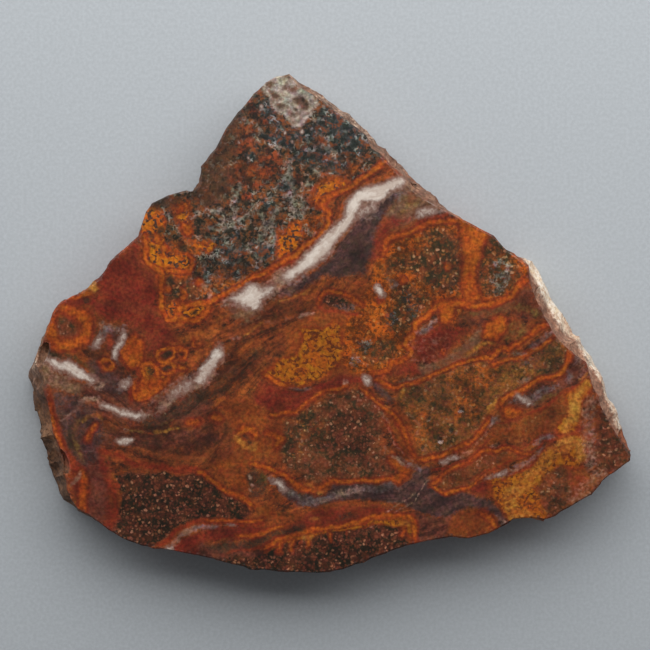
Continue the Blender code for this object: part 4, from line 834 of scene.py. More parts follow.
@dataclass(frozen=True)
class PatternSheet:
    """The drawn pattern of the stone, and how it runs on through the slab's thickness."""

    marks: tuple[Mark, ...] = (SOFT_ZONES + GRANULAR_PATCHES + LOBE_PATCHES + WHITE_VEINS + RIMS + ACCENTS
                               + WALL_CRUSTS)
    lean: Pair = (0.28, -0.2)
    broad_wander: float = 0.5
    broad_size: float = 2.6
    fine_wander: float = 0.18
    fine_size: float = 0.9
    fine_shift: Triple = (7.1, 3.3, 1.7)
    flow_blend: float = 0.8
    floor: float = -3.0
    ceiling: float = 3.0

    def drawn_places(self, points: np.ndarray, top: float) -> np.ndarray:
        """Carry points of the slab to the drawing, along the pattern's lean through the stone.

        Args:
            points: The slab's points, in metres.
            top: Height of the polished face, in metres.

        Returns:
            One row of x and y in the drawing's millimetres for each point.
        """
        places = points[:, :2] / MM - np.array(DRAWING_SHIFT)
        places += (top - points[:, 2:3]) / MM * np.array(self.lean)
        wander = np.empty_like(places)
        for row, (x, y, z) in enumerate(points / MM):
            broad = noise.noise_vector(Vector((x, y, z)) / self.broad_size)
            fine = noise.noise_vector(Vector((x, y, z)) / self.fine_size + Vector(self.fine_shift))
            wander[row] = (self.broad_wander * broad + self.fine_wander * fine)[:2]
        return places + wander

    def depths(self, places: np.ndarray) -> dict[Tint, np.ndarray]:
        """Measure how deep every place lies inside each tint, in widths of the mark's soft edge.

        Args:
            places: Places of the drawing, in millimetres.

        Returns:
            For each tint, one number for each place: above 1 inside and below -1 outside.
        """
        found = {tint: np.full(len(places), self.floor) for tint in Tint}
        for mark in self.marks:
            corners = mark.corners()
            low = corners.min(0) - mark.reach()
            high = corners.max(0) + mark.reach()
            near = np.flatnonzero(np.all((places > low) & (places < high), axis=1))
            if not len(near):
                continue
            cap = self.ceiling if mark.hold >= 1.0 else 2.0 * mark.hold - 1.0
            cover = np.minimum(mark.depth(places[near]) / mark.soft, cap)
            tint = found[mark.tint]
            tint[near] = np.maximum(tint[near], cover)
        return found

    def flow(self, places: np.ndarray) -> np.ndarray:
        """Return each place's level across the flow of the stone, in millimetres."""
        total = np.zeros(len(places))
        weights = np.zeros(len(places))
        for level, route in FLOW_LINES:
            line = Stroke(Tint.AMBER, route)
            distance = line.nearest(places)
            side = np.where(places[:, 1] > np.interp(places[:, 0], *line.corners().T), 1.0, -1.0)
            weight = 1.0 / (distance + self.flow_blend) ** 2
            total += weight * (level + side * distance)
            weights += weight
        return total / weights


@dataclass(frozen=True)
class Wire:
    """A shader socket that takes part in Python arithmetic."""

    bench: "Bench"
    socket: bpy.types.NodeSocket

    def __add__(self, other: "Wire | float") -> "Wire":
        """Add a socket or a number."""
        return self.bench.sum_up("ADD", self, other)

    def __radd__(self, other: float) -> "Wire":
        """Add this socket to a number."""
        return self.bench.sum_up("ADD", other, self)

    def __sub__(self, other: "Wire | float") -> "Wire":
        """Take a socket or a number away."""
        return self.bench.sum_up("SUBTRACT", self, other)

    def __rsub__(self, other: float) -> "Wire":
        """Take this socket away from a number."""
        return self.bench.sum_up("SUBTRACT", other, self)

    def __mul__(self, other: "Wire | float") -> "Wire":
        """Multiply by a socket or a number."""
        return self.bench.sum_up("MULTIPLY", self, other)

    def __rmul__(self, other: float) -> "Wire":
        """Multiply a number by this socket."""
        return self.bench.sum_up("MULTIPLY", other, self)

    def rise(self, low: float, high: float) -> "Wire":
        """Return 0 below low and 1 above high, with a smooth rise between."""
        settings = {"interpolation_type": "SMOOTHSTEP"}
        values = {"Value": self, "From Min": low, "From Max": high}
        return self.bench.out("ShaderNodeMapRange", settings, values, "Result")

    def ridge(self) -> "Wire":
        """Return the distance of a noise from its middle value."""
        return self.bench.sum_up("ABSOLUTE", self - 0.5)


Value = Wire | float | Colour


class Bench:
    """The place where one material's nodes are laid out."""

    def __init__(self, name: str) -> None:
        """Start a material with an empty node tree."""
        self.material = bpy.data.materials.new(name)
        self.material.use_nodes = True
        self.tree = self.material.node_tree
        self.tree.nodes.clear()

    def node(self, kind: str, settings: dict[str, Any], values: dict[str | int, Any]) -> bpy.types.Node:
        """Add a node.

        Args:
            kind: The node's type.
            settings: Its settings, which are set before anything is joined to it.
            values: For each input, by name or by place, a number, a colour or a wire.

        Returns:
            The new node.
        """
        node = self.tree.nodes.new(kind)
        for name, setting in settings.items():
            setattr(node, name, setting)
        for key, value in values.items():
            if isinstance(key, int):
                socket = node.inputs[key]
            else:
                socket = next(item for item in node.inputs if item.name == key and item.enabled)
            if isinstance(value, Wire):
                self.tree.links.new(value.socket, socket)
            else:
                socket.default_value = value
        return node

    def out(self, kind: str, settings: dict[str, Any], values: dict[str | int, Any], name: str) -> Wire:
        """Add a node and return one of its outputs, by name."""
        node = self.node(kind, settings, values)
        return Wire(self, next(item for item in node.outputs if item.name == name and item.enabled))

    def sum_up(self, operation: str, *terms: Wire | float) -> Wire:
        """Add a Math node over the terms."""
        return self.out("ShaderNodeMath", {"operation": operation}, dict(enumerate(terms)), "Value")

    def depth_in(self, name: str) -> Wire:
        """Read a number that each vertex carries."""
        settings = {"attribute_type": "GEOMETRY", "attribute_name": name}
        return self.out("ShaderNodeAttribute", settings, {}, "Fac")

    def mix(self, first: Value, second: Value, share: Wire | float, blend: str = "MIX") -> Wire:
        """Blend two colours.

        Args:
            first: The colour below.
            second: The colour laid over it.
            share: How much of the second one shows.
            blend: The blend mode.

        Returns:
            The blended colour.
        """
        settings = {"data_type": "RGBA", "blend_type": blend}
        return self.out("ShaderNodeMix", settings, {"Factor": share, "A": first, "B": second}, "Result")

    def scaled(self, place: Wire, factors: Triple) -> Wire:
        """Stretch a place along its three axes."""
        values = {0: place, 1: factors}
        return self.out("ShaderNodeVectorMath", {"operation": "MULTIPLY"}, values, "Vector")

    def moved(self, place: Wire, step: Wire | Triple) -> Wire:
        """Move a place by a step."""
        return self.out("ShaderNodeVectorMath", {"operation": "ADD"}, {0: place, 1: step}, "Vector")

    def own_place(self) -> Wire:
        """Return the place on the object itself, in millimetres."""
        seen = self.out("ShaderNodeTexCoord", {}, {}, "Object")
        return self.scaled(seen, (1.0 / MM, 1.0 / MM, 1.0 / MM))

    def surface(self, values: dict[str | int, Any]) -> bpy.types.Material:
        """Join a surface shader with these inputs to the material and return the material."""
        shader = self.out("ShaderNodeBsdfPrincipled", {}, values, "BSDF")
        self.node("ShaderNodeOutputMaterial", {}, {"Surface": shader})
        return self.material

    def noise(self, place: Wire, size: float, detail: float = 2.0, rough: float = 0.55,
              name: str = "Fac") -> Wire:
        """Sample a noise.

        Args:
            place: Where it is sampled, in millimetres.
            size: The size of its features, in millimetres.
            detail: How many finer layers it has.
            rough: How strong the finer layers are.
            name: The output wanted, Fac or Color.

        Returns:
            The noise.
        """
        values = {"Vector": place, "Scale": 1.0 / size, "Detail": detail, "Roughness": rough}
        return self.out("ShaderNodeTexNoise", {}, values, name)

    def grains(self, place: Wire, size: float) -> tuple[Wire, Wire, Wire]:
        """Scatter grains.

        Args:
            place: Where they are sampled, in millimetres.
            size: The distance between two grains, in millimetres.

        Returns:
            The distance to the nearest grain in sizes, and two random numbers of that grain.
        """
        node = self.node("ShaderNodeTexVoronoi", {}, {"Vector": place, "Scale": 1.0 / size})
        colour = Wire(self, node.outputs["Color"])
        luck, tone = self.node("ShaderNodeSeparateColor", {}, {"Color": colour}).outputs[:2]
        return Wire(self, node.outputs["Distance"]), Wire(self, luck), Wire(self, tone)


@dataclass(frozen=True)
class Grain:
    """The noises that every finish shares, sampled once for the whole stone."""

    place: Wire
    streak: Wire
    drift: Wire
    cloud: Wire
    fleck: Wire
    fray: Wire


@dataclass(frozen=True)
class Mottle:
    """A finish of two colours mingled by noise and streaks, with a speckle of a third."""

    base: Colour
    other: Colour
    speckle: Colour = srgb(70, 45, 28)
    speckled: float = 0.35
    streaky: float = 0.7
    mingled: Pair = (0.44, 0.56)
    fine: float = 0.6
    speckles: Pair = (0.46, 0.6)

    def paint(self, bench: Bench, grain: Grain) -> Wire:
        """Return the colour of the finish.

        Args:
            bench: The material's bench.
            grain: The shared noises.

        Returns:
            The colour at each place.
        """
        share = grain.cloud * (1.0 - self.streaky) + grain.streak * self.streaky
        colour = bench.mix(self.base, self.other, share.rise(*self.mingled))
        specks = (grain.fleck * self.fine + grain.drift * (1.0 - self.fine)).rise(*self.speckles)
        return bench.mix(colour, self.speckle, specks * self.speckled)


@dataclass(frozen=True)
class DottedGrains:
    """A finish of small dots, unlike in size and brightness, on a mottled ground."""

    ground: Colour
    ground_light: Colour
    dot: Colour
    dot_bright: Colour
    spacing: float = 0.45
    dot_size: float = 0.45
    crowd: float = 0.2
    contrast: Pair = (0.42, 0.6)
    ground_shares: Triple = (0.55, 0.25, 0.2)
    luck_share: float = 0.4
    crowd_band: float = 0.2
    least_dot: float = 0.45
    dot_growth: float = 0.75
    dot_edge: Pair = (-0.2, 0.16)
    bright_band: Pair = (0.6, 1.0)

    def paint(self, bench: Bench, grain: Grain) -> Wire:
        """Return the colour of the finish.

        Args:
            bench: The material's bench.
            grain: The shared noises.

        Returns:
            The colour at each place.
        """
        of_cloud, of_drift, of_fleck = self.ground_shares
        share = grain.cloud * of_cloud + grain.drift * of_drift + grain.fleck * of_fleck
        colour = bench.mix(self.ground, self.ground_light, share.rise(*self.contrast))
        near, luck, tone = bench.grains(grain.place, self.spacing)
        chance = luck * self.luck_share + grain.cloud * (1.0 - self.luck_share)
        shown = chance.rise(self.crowd, self.crowd + self.crowd_band)
        dot = (self.dot_size * (self.least_dot + self.dot_growth * luck) - near).rise(*self.dot_edge) * shown
        return bench.mix(colour, bench.mix(self.dot, self.dot_bright, tone.rise(*self.bright_band)), dot)


@dataclass(frozen=True)
class Rubble:
    """A finish of crowded angular grains of three colours, with winding threads of a fourth."""

    dark: Colour
    middle: Colour
    warm: Colour
    thread: Colour
    threaded: float = 0.3
    size: float = 0.42
    shift: Triple = (3.0, 9.0, 1.0)
    luck_share: float = 0.4
    cloud_gain: float = 2.4
    least_chance: float = 0.3
    middle_band: Pair = (0.38, 0.52)
    warm_band: Pair = (0.6, 0.72)
    thread_size: float = 0.95
    patch_size: float = 1.9
    patch_shift: Triple = (11.0, 2.0, 8.0)
    patch_band: Pair = (0.62, 0.8)
    patch_gain: float = 0.4
    thread_width: float = 0.05
    thread_edge: Pair = (-0.02, 0.04)
    sparks: Pair = (0.93, 0.97)
    spark_share: float = 0.5

    def paint(self, bench: Bench, grain: Grain) -> Wire:
        """Return the colour of the finish.

        Args:
            bench: The material's bench.
            grain: The shared noises.

        Returns:
            The colour at each place.
        """
        _, luck, tone = bench.grains(bench.moved(grain.place, self.shift), self.size)
        chance = luck * self.luck_share + (grain.cloud - 0.5) * self.cloud_gain + self.least_chance
        colour = bench.mix(self.dark, self.middle, chance.rise(*self.middle_band))
        colour = bench.mix(colour, self.warm, chance.rise(*self.warm_band))
        winding = bench.noise(grain.place, self.thread_size, 2.5, 0.6)
        patchy = bench.noise(bench.moved(grain.place, self.patch_shift), self.patch_size, 2.0, 0.6)
        fade = patchy.rise(*(end - self.patch_gain * self.threaded for end in self.patch_band))
        line = (self.thread_width - winding.ridge()).rise(*self.thread_edge) * fade
        return bench.mix(colour, self.thread, line + tone.rise(*self.sparks) * self.spark_share)


@dataclass(frozen=True)
class Clotted:
    """A finish of two mingled colours with small winding clots of a darker pair."""

    ground: Colour
    ground_light: Colour
    clot: Colour
    clot_dark: Colour
    size: float = 0.7
    amount: float = 0.52
    mingled: Pair = (0.45, 0.55)
    shift: Triple = (7.0, 4.0, 2.0)
    winding_share: float = 0.7
    clot_band: float = 0.06
    dark_band: Pair = (0.4, 0.6)

    def paint(self, bench: Bench, grain: Grain) -> Wire:
        """Return the colour of the finish.

        Args:
            bench: The material's bench.
            grain: The shared noises.

        Returns:
            The colour at each place.
        """
        share = (grain.cloud * 0.5 + grain.drift * 0.5).rise(*self.mingled)
        colour = bench.mix(self.ground, self.ground_light, share)
        winding = bench.noise(bench.moved(grain.place, self.shift), self.size, 1.5, 0.5)
        clots = winding * self.winding_share + grain.cloud * (1.0 - self.winding_share)
        clots = clots.rise(self.amount, self.amount + self.clot_band)
        clot = bench.mix(self.clot, self.clot_dark, grain.fleck.rise(*self.dark_band))
        return bench.mix(colour, clot, clots)


Finish = Mottle | DottedGrains | Rubble | Clotted


@dataclass(frozen=True)
class Layer:
    """A tint's finish, how ragged its edge is, how fast it fills and what lines its edge."""

    tint: Tint
    finish: Finish
    fray: float = 1.0
    cover: float = 1.0
    filled: float = 1.0
    outline: Colour | None = None


LAYERS = (
    Layer(T.AMBER, Mottle(srgb(146, 68, 24), srgb(116, 52, 22), srgb(112, 70, 28)), 1.0, 0.85),
    Layer(T.UMBER, Mottle(srgb(74, 36, 20), srgb(112, 54, 28), srgb(76, 50, 26)), 1.0, 0.8),
    Layer(T.TAN, Mottle(srgb(138, 100, 74), srgb(104, 72, 52), srgb(80, 58, 38)), 1.0, 0.85),
    Layer(T.CRIMSON, Mottle(srgb(118, 36, 22), srgb(98, 34, 22), srgb(128, 60, 28), 0.35), 1.0, 0.92),
    Layer(T.PLUM, Mottle(srgb(68, 34, 26), srgb(104, 56, 42), srgb(50, 34, 24)), 1.0, 0.85),
    Layer(T.DUSK, Mottle(srgb(62, 41, 38), srgb(86, 58, 53), srgb(46, 36, 30), 0.5), 1.0, 0.95),
    Layer(T.LOBE, Rubble(srgb(42, 34, 24), srgb(85, 57, 39), srgb(116, 65, 31), srgb(142, 127, 112), 0.3,
        0.38)),
    Layer(T.GOLD, Clotted(srgb(172, 97, 20), srgb(146, 73, 16), srgb(118, 56, 18), srgb(96, 49, 20), 0.6,
        0.505), 1.0, 1.0, 1.0, srgb(128, 50, 18)),
    Layer(T.LOAM, DottedGrains(srgb(66, 48, 24), srgb(130, 74, 32), srgb(112, 60, 34), srgb(148, 106, 70),
        0.46, 0.46, 0.32, (0.4, 0.6))),
    Layer(T.EMBER, DottedGrains(srgb(100, 46, 14), srgb(166, 80, 18), srgb(98, 50, 18), srgb(168, 100, 44),
        0.44, 0.48, 0.3, (0.43, 0.56))),
    Layer(T.GRAVEL, DottedGrains(srgb(60, 44, 26), srgb(101, 53, 30), srgb(112, 65, 42), srgb(156, 110, 82),
        0.46, 0.42, 0.34, (0.42, 0.56))),
    Layer(T.GRIT, DottedGrains(srgb(38, 28, 16), srgb(68, 35, 21), srgb(98, 51, 33), srgb(152, 99, 72),
        0.46, 0.46, 0.3, (0.44, 0.56))),
    Layer(T.CHAR, DottedGrains(srgb(58, 46, 26), srgb(104, 54, 28), srgb(138, 80, 40), srgb(176, 130, 92),
        0.5, 0.42, 0.38, (0.44, 0.58)), 1.4),
    Layer(T.BRICK, Rubble(srgb(64, 34, 22), srgb(110, 50, 26), srgb(132, 62, 30), srgb(96, 74, 54), 0.1,
        0.46), 1.6, 0.9),
    Layer(T.NET, DottedGrains(srgb(112, 102, 88), srgb(152, 144, 130), srgb(66, 54, 42), srgb(100, 64, 38),
        0.4, 0.46, 0.42), 1.8, 0.95),
    Layer(T.SLATE, Rubble(srgb(34, 38, 34), srgb(50, 58, 58), srgb(98, 56, 36), srgb(150, 146, 142), 0.3,
        0.46), 1.6, 0.95),
    Layer(T.CINDER, Clotted(srgb(196, 110, 18), srgb(170, 80, 18), srgb(86, 48, 28), srgb(60, 50, 42), 0.6,
        0.505), 1.4, 0.95, 1.0, srgb(140, 58, 18)),
    Layer(T.BONE, Mottle(srgb(184, 169, 155), srgb(147, 130, 116), srgb(106, 84, 68), 0.6), 1.1, 0.95),
    Layer(T.RUSSET, Mottle(srgb(108, 64, 38), srgb(72, 46, 32), srgb(56, 44, 34)), 1.0, 0.9),
    Layer(T.SCARLET, Mottle(srgb(132, 42, 20), srgb(110, 36, 20), srgb(146, 68, 30)), 0.7, 0.88),
    Layer(T.OLIVE, Mottle(srgb(122, 86, 40), srgb(92, 62, 32)), 1.2, 0.8),
    Layer(T.OCHRE, Mottle(srgb(190, 128, 52), srgb(160, 96, 36), srgb(124, 74, 30), 0.4), 0.7, 0.9),
    Layer(T.ORANGE, Mottle(srgb(182, 92, 24), srgb(162, 72, 20), srgb(130, 56, 18), 0.4), 0.6, 0.92, 1.0,
        srgb(110, 38, 18)),
    Layer(T.PITCH, Mottle(srgb(42, 34, 22), srgb(58, 42, 30)), 1.2, 0.9),
    Layer(T.LILAC, Mottle(srgb(92, 77, 74), srgb(128, 114, 111), srgb(78, 61, 56)), 1.2, 0.85, 1.6),
    Layer(T.BLUSH, Mottle(srgb(174, 130, 108), srgb(138, 96, 78), srgb(104, 66, 52)), 1.2, 0.85, 1.4),
)

CLEAR_LAYERS = (
    Layer(T.MILK, Mottle(srgb(226, 213, 200), srgb(204, 186, 172), srgb(176, 152, 138), 0.3), 1.1, 0.95,
        1.5, srgb(130, 98, 86)),
)

WALL_LAYERS = (
    Layer(T.BARK, Mottle(srgb(152, 110, 78), srgb(114, 80, 54), srgb(76, 54, 38), 0.5), 1.2, 0.85),
    # Painted shade for the walls: a dark mottle under the arris and on the darker wall parts.
    Layer(T.PAINTED_SHADE, Mottle(srgb(58, 42, 28), srgb(42, 31, 20), srgb(34, 26, 18), 0.5), 1.4, 0.9),
    Layer(T.ROSE, Mottle(srgb(176, 132, 106), srgb(138, 100, 80), srgb(98, 66, 50), 0.5), 1.2, 0.85),
    Layer(T.CREAM, Mottle(srgb(246, 230, 208), srgb(228, 204, 178), srgb(176, 140, 112), 0.5), 1.0, 0.95),
)


@dataclass(frozen=True)
class StoneFinish:
    """The material of the whole slab: its matrix, the layers over it, and the worn skin of each side."""

    dark: Colour = srgb(66, 32, 18)
    middle: Colour = srgb(112, 52, 24)
    light: Colour = srgb(144, 72, 30)
    olive_fleck: Colour = srgb(72, 50, 26)
    orange_fleck: Colour = srgb(160, 84, 34)
    fracture: Colour = srgb(150, 104, 80)
    saw_dust: Colour = srgb(150, 112, 92)
    saw_centre: Triple = (70.0, 25.0, 0.0)
    saw_rate: float = 0.16
    polish: float = 0.22
    broken: float = 0.78
    sawn: float = 0.6
    ior: float = 1.54
    wobble: float = 0.7
    streak_length: float = 0.16
    fray_gains: Pair = (4.0, 1.2)
    drift_shift: Triple = (5.0, 8.0, 2.0)
    streaky: float = 0.65
    middle_band: Pair = (0.41, 0.48)
    light_band: Pair = (0.5, 0.58)
    olive_band: Pair = (0.56, 0.68)
    olive_share: float = 0.55
    orange_band: Pair = (0.58, 0.7)
    orange_share: float = 0.4
    tint_shift: float = 0.32
    cloud_shade: float = 0.35
    broad_shade: float = 0.4
    shade_band: Pair = (0.2, 0.8)
    fracture_band: Pair = (0.35, 0.75)
    fracture_share: float = 0.55
    wall_band: Pair = (0.3, 0.7)
    wall_shade: float = 0.42
    dust_shares: Pair = (0.2, 0.16)
    wall_relief: float = 0.15
    sawn_relief: Pair = (0.03, 0.02)
    outline_band: Pair = (-2.2, -0.6)
    outline_share: float = 0.75
    fray_share: float = 0.5

    def weave(self, bench: Bench, spot: Wire) -> Grain:
        """Sample the noises that the finishes share.

        Args:
            bench: The material's bench.
            spot: The place on the stone, in millimetres.

        Returns:
            The shared noises.
        """
        wobble = bench.moved(bench.noise(spot, 0.8, 1.0, 0.5, "Color"), (-0.5, -0.5, -0.5))
        place = bench.moved(spot, bench.scaled(wobble, (self.wobble, self.wobble, self.wobble)))
        values = {"X": bench.depth_in("flow"), "Y": bench.depth_in("along") * self.streak_length}
        drawn_out = bench.out("ShaderNodeCombineXYZ", {}, values, "Vector")
        crumb = bench.grains(place, 0.4)[1]
        by_noise, by_crumb = self.fray_gains
        fray = (bench.noise(place, 0.5, 2.0, 0.6) - 0.5) * by_noise + (crumb - 0.5) * by_crumb
        return Grain(place, bench.noise(drawn_out, 1.1, 4.0, 0.65),
                     bench.noise(bench.moved(place, self.drift_shift), 3.6, 2.0, 0.55),
                     bench.noise(place, 1.1, 4.0, 0.65), bench.noise(spot, 0.42, 2.0, 0.6), fray)

    def matrix(self, bench: Bench, grain: Grain) -> Wire:
        """Return the colour of the stone between its patches.

        Args:
            bench: The material's bench.
            grain: The shared noises.

        Returns:
            The colour at each place.
        """
        share = grain.cloud * (1.0 - self.streaky) + grain.streak * self.streaky
        colour = bench.mix(self.dark, self.middle, share.rise(*self.middle_band))
        colour = bench.mix(colour, self.light, share.rise(*self.light_band))
        colour = bench.mix(colour, self.olive_fleck, grain.fleck.rise(*self.olive_band) * self.olive_share)
        orange = (1.0 - grain.fleck).rise(*self.orange_band) * self.orange_share
        return bench.mix(colour, self.orange_fleck, orange)

    def build(self) -> bpy.types.Material:
        """Lay out the material and return it."""
        bench = Bench("polished and broken ferruginous quartz")
        spot = bench.own_place()
        grain = self.weave(bench, spot)
        colour = self.matrix(bench, grain)
        for layer in LAYERS:
            colour = self.laid_over(bench, colour, layer, grain, 1.0)
        colour = bench.mix(colour, bench.noise(spot, 1.1, 2.0, 0.6, "Color"), self.tint_shift, "OVERLAY")
        shade = bench.noise(spot, 0.5, 1.0, 0.5).rise(*self.shade_band)
        colour = bench.mix(colour, shade, self.cloud_shade, "OVERLAY")
        colour = bench.mix(colour, grain.drift.rise(*self.shade_band), self.broad_shade, "OVERLAY")
        for layer in CLEAR_LAYERS:
            colour = self.laid_over(bench, colour, layer, grain, 1.0)
        wall = bench.depth_in("wall")
        fresh = wall * grain.cloud.rise(*self.fracture_band) * self.fracture_share
        colour = bench.mix(colour, self.fracture, fresh)
        for layer in WALL_LAYERS:
            colour = self.laid_over(bench, colour, layer, grain, wall)
        shade = bench.noise(spot, 0.9, 4.0, 0.7).rise(*self.wall_band)
        colour = bench.mix(colour, shade, wall * self.wall_shade, "OVERLAY")
        base = bench.depth_in("base")
        rings = {"wave_type": "RINGS", "rings_direction": "Z"}
        centred = bench.moved(spot, self.saw_centre)
        values = {"Vector": centred, "Scale": self.saw_rate, "Distortion": 1.2, "Detail": 2.0}
        arcs = bench.out("ShaderNodeTexWave", rings, values, "Fac")
        even, striped = self.dust_shares
        colour = bench.mix(colour, self.saw_dust, base * (even + arcs * striped))
        rough = self.polish + (self.broken - self.polish) * bench.depth_in("worn")
        rough = rough + (self.sawn - self.polish) * base
        relief = bench.noise(spot, 0.45, 4.0, 0.65) * wall * self.wall_relief
        dusty, grooved = self.sawn_relief
        relief = relief + (bench.noise(spot, 0.5, 2.0, 0.5) * dusty + arcs * grooved) * base
        bump = bench.out("ShaderNodeBump", {}, {"Strength": 0.6, "Distance": MM, "Height": relief}, "Normal")
        return bench.surface({"Base Color": colour, "Roughness": rough, "IOR": self.ior, "Normal": bump})

    def laid_over(self, bench: Bench, below: Wire, layer: Layer, grain: Grain, where: Wire | float) -> Wire:
        """Lay one tint over the colour below it.

        Args:
            bench: The material's bench.
            below: The colour so far.
            layer: The tint and its finish.
            grain: The shared noises.
            where: The share of the surface that the tint may cover.

        Returns:
            The colour with the tint on it.
        """
        depth = bench.depth_in(layer.tint.value) + grain.fray * layer.fray * self.fray_share
        if layer.outline is not None:
            below = bench.mix(below, layer.outline, depth.rise(*self.outline_band) * self.outline_share)
        share = depth.rise(-1.0, layer.filled) * layer.cover * where
        return bench.mix(below, layer.finish.paint(bench, grain), share)


@dataclass
class BrokenSkin:
    """The Geometry Nodes tree that breaks the wall's surface and sinks the face's pits."""

    plate_size: float = 1.7
    plate_depth: float = 0.32
    grain_size: float = 0.8
    grain_depth: float = 0.2
    seed: int = 5

    def tree(self) -> bpy.types.NodeTree:
        """Build the tree, with its sizes as named inputs in millimetres."""
        tree = bpy.data.node_groups.new("broken skin", "GeometryNodeTree")
        face = tree.interface
        face.new_socket("Geometry", in_out="INPUT", socket_type="NodeSocketGeometry")
        for name in ("Plate Size", "Plate Depth", "Grain Size", "Grain Depth", "Seed"):
            face.new_socket(name, in_out="INPUT", socket_type="NodeSocketFloat")
        face.new_socket("Material", in_out="INPUT", socket_type="NodeSocketMaterial")
        face.new_socket("Geometry", in_out="OUTPUT", socket_type="NodeSocketGeometry")

        def add(kind: str, settings: dict[str, Any], values: dict[str | int, Any]) -> bpy.types.Node:
            """Add a node with its settings, numbers and links."""
            node = tree.nodes.new(kind)
            for name, setting in settings.items():
                setattr(node, name, setting)
            for key, value in values.items():
                if isinstance(value, bpy.types.NodeSocket):
                    tree.links.new(value, node.inputs[key])
                else:
                    node.inputs[key].default_value = value
            return node

        def maths(operation: str, first: Any, second: Any) -> bpy.types.NodeSocket:
            """Join two numbers by a Math node."""
            return add("ShaderNodeMath", {"operation": operation}, {0: first, 1: second}).outputs[0]

        def named(name: str) -> bpy.types.NodeSocket:
            """Read a number that each vertex carries."""
            return add("GeometryNodeInputNamedAttribute", {"data_type": "FLOAT"}, {0: name}).outputs[0]

        sizes = tree.nodes.new("NodeGroupInput").outputs
        place = add("GeometryNodeInputPosition", {}, {}).outputs[0]
        spot = add("ShaderNodeVectorMath", {"operation": "SCALE"}, {0: place, "Scale": 1.0 / MM}).outputs[0]
        plate_scale = maths("DIVIDE", 1.0, sizes["Plate Size"])
        grain_scale = maths("DIVIDE", 1.0, sizes["Grain Size"])
        flaw = {"voronoi_dimensions": "4D"}
        plates = add("ShaderNodeTexVoronoi", flaw, {"Vector": spot, "W": sizes["Seed"], "Scale": plate_scale})
        tilt = add("ShaderNodeTexNoise", {"noise_dimensions": "4D"},
                   {"Vector": spot, "W": sizes["Seed"], "Scale": grain_scale, "Detail": 2.0})
        sunk = maths("MULTIPLY", plates.outputs["Distance"], sizes["Plate Depth"])
        grained = maths("MULTIPLY", tilt.outputs[0], sizes["Grain Depth"])
        inward = maths("MULTIPLY", maths("ADD", sunk, grained), named("wall_depth"))
        inward = maths("MULTIPLY", inward, -MM)
        normal = add("GeometryNodeInputNormal", {}, {}).outputs[0]
        broken = add("ShaderNodeVectorMath", {"operation": "SCALE"}, {0: normal, "Scale": inward}).outputs[0]
        pitted = add("ShaderNodeCombineXYZ", {}, {"Z": maths("MULTIPLY", named("pit"), -MM)}).outputs[0]
        step = add("ShaderNodeVectorMath", {"operation": "ADD"}, {0: broken, 1: pitted}).outputs[0]
        moved = add("GeometryNodeSetPosition", {}, {"Geometry": sizes["Geometry"], "Offset": step}).outputs[0]
        real = add("GeometryNodeRealizeInstances", {}, {"Geometry": moved}).outputs[0]
        dressed = add("GeometryNodeSetMaterial", {}, {"Geometry": real, "Material": sizes["Material"]})
        add("NodeGroupOutput", {}, {"Geometry": dressed.outputs[0]})
        return tree

    def break_surface(self, piece: bpy.types.Object, material: bpy.types.Material) -> bpy.types.Mesh:
        """Run the tree on a piece and return the result as a plain mesh.

        Args:
            piece: The smooth slab, which carries the attributes that the tree reads.
            material: The material that the result takes.

        Returns:
            The broken and pitted mesh.
        """
        modifier = piece.modifiers.new("broken skin", "NODES")
        modifier.node_group = self.tree()
        amounts = {
            "Plate Size": self.plate_size,
            "Plate Depth": self.plate_depth,
            "Grain Size": self.grain_size,
            "Grain Depth": self.grain_depth,
            "Seed": float(self.seed),
            "Material": material,
        }
        for socket in modifier.node_group.interface.items_tree:
            if socket.in_out == "INPUT" and socket.name in amounts:
                modifier[socket.identifier] = amounts[socket.name]
        graph = bpy.context.evaluated_depsgraph_get()
        mesh = bpy.data.meshes.new_from_object(piece.evaluated_get(graph))
        piece.modifiers.remove(modifier)
        return mesh


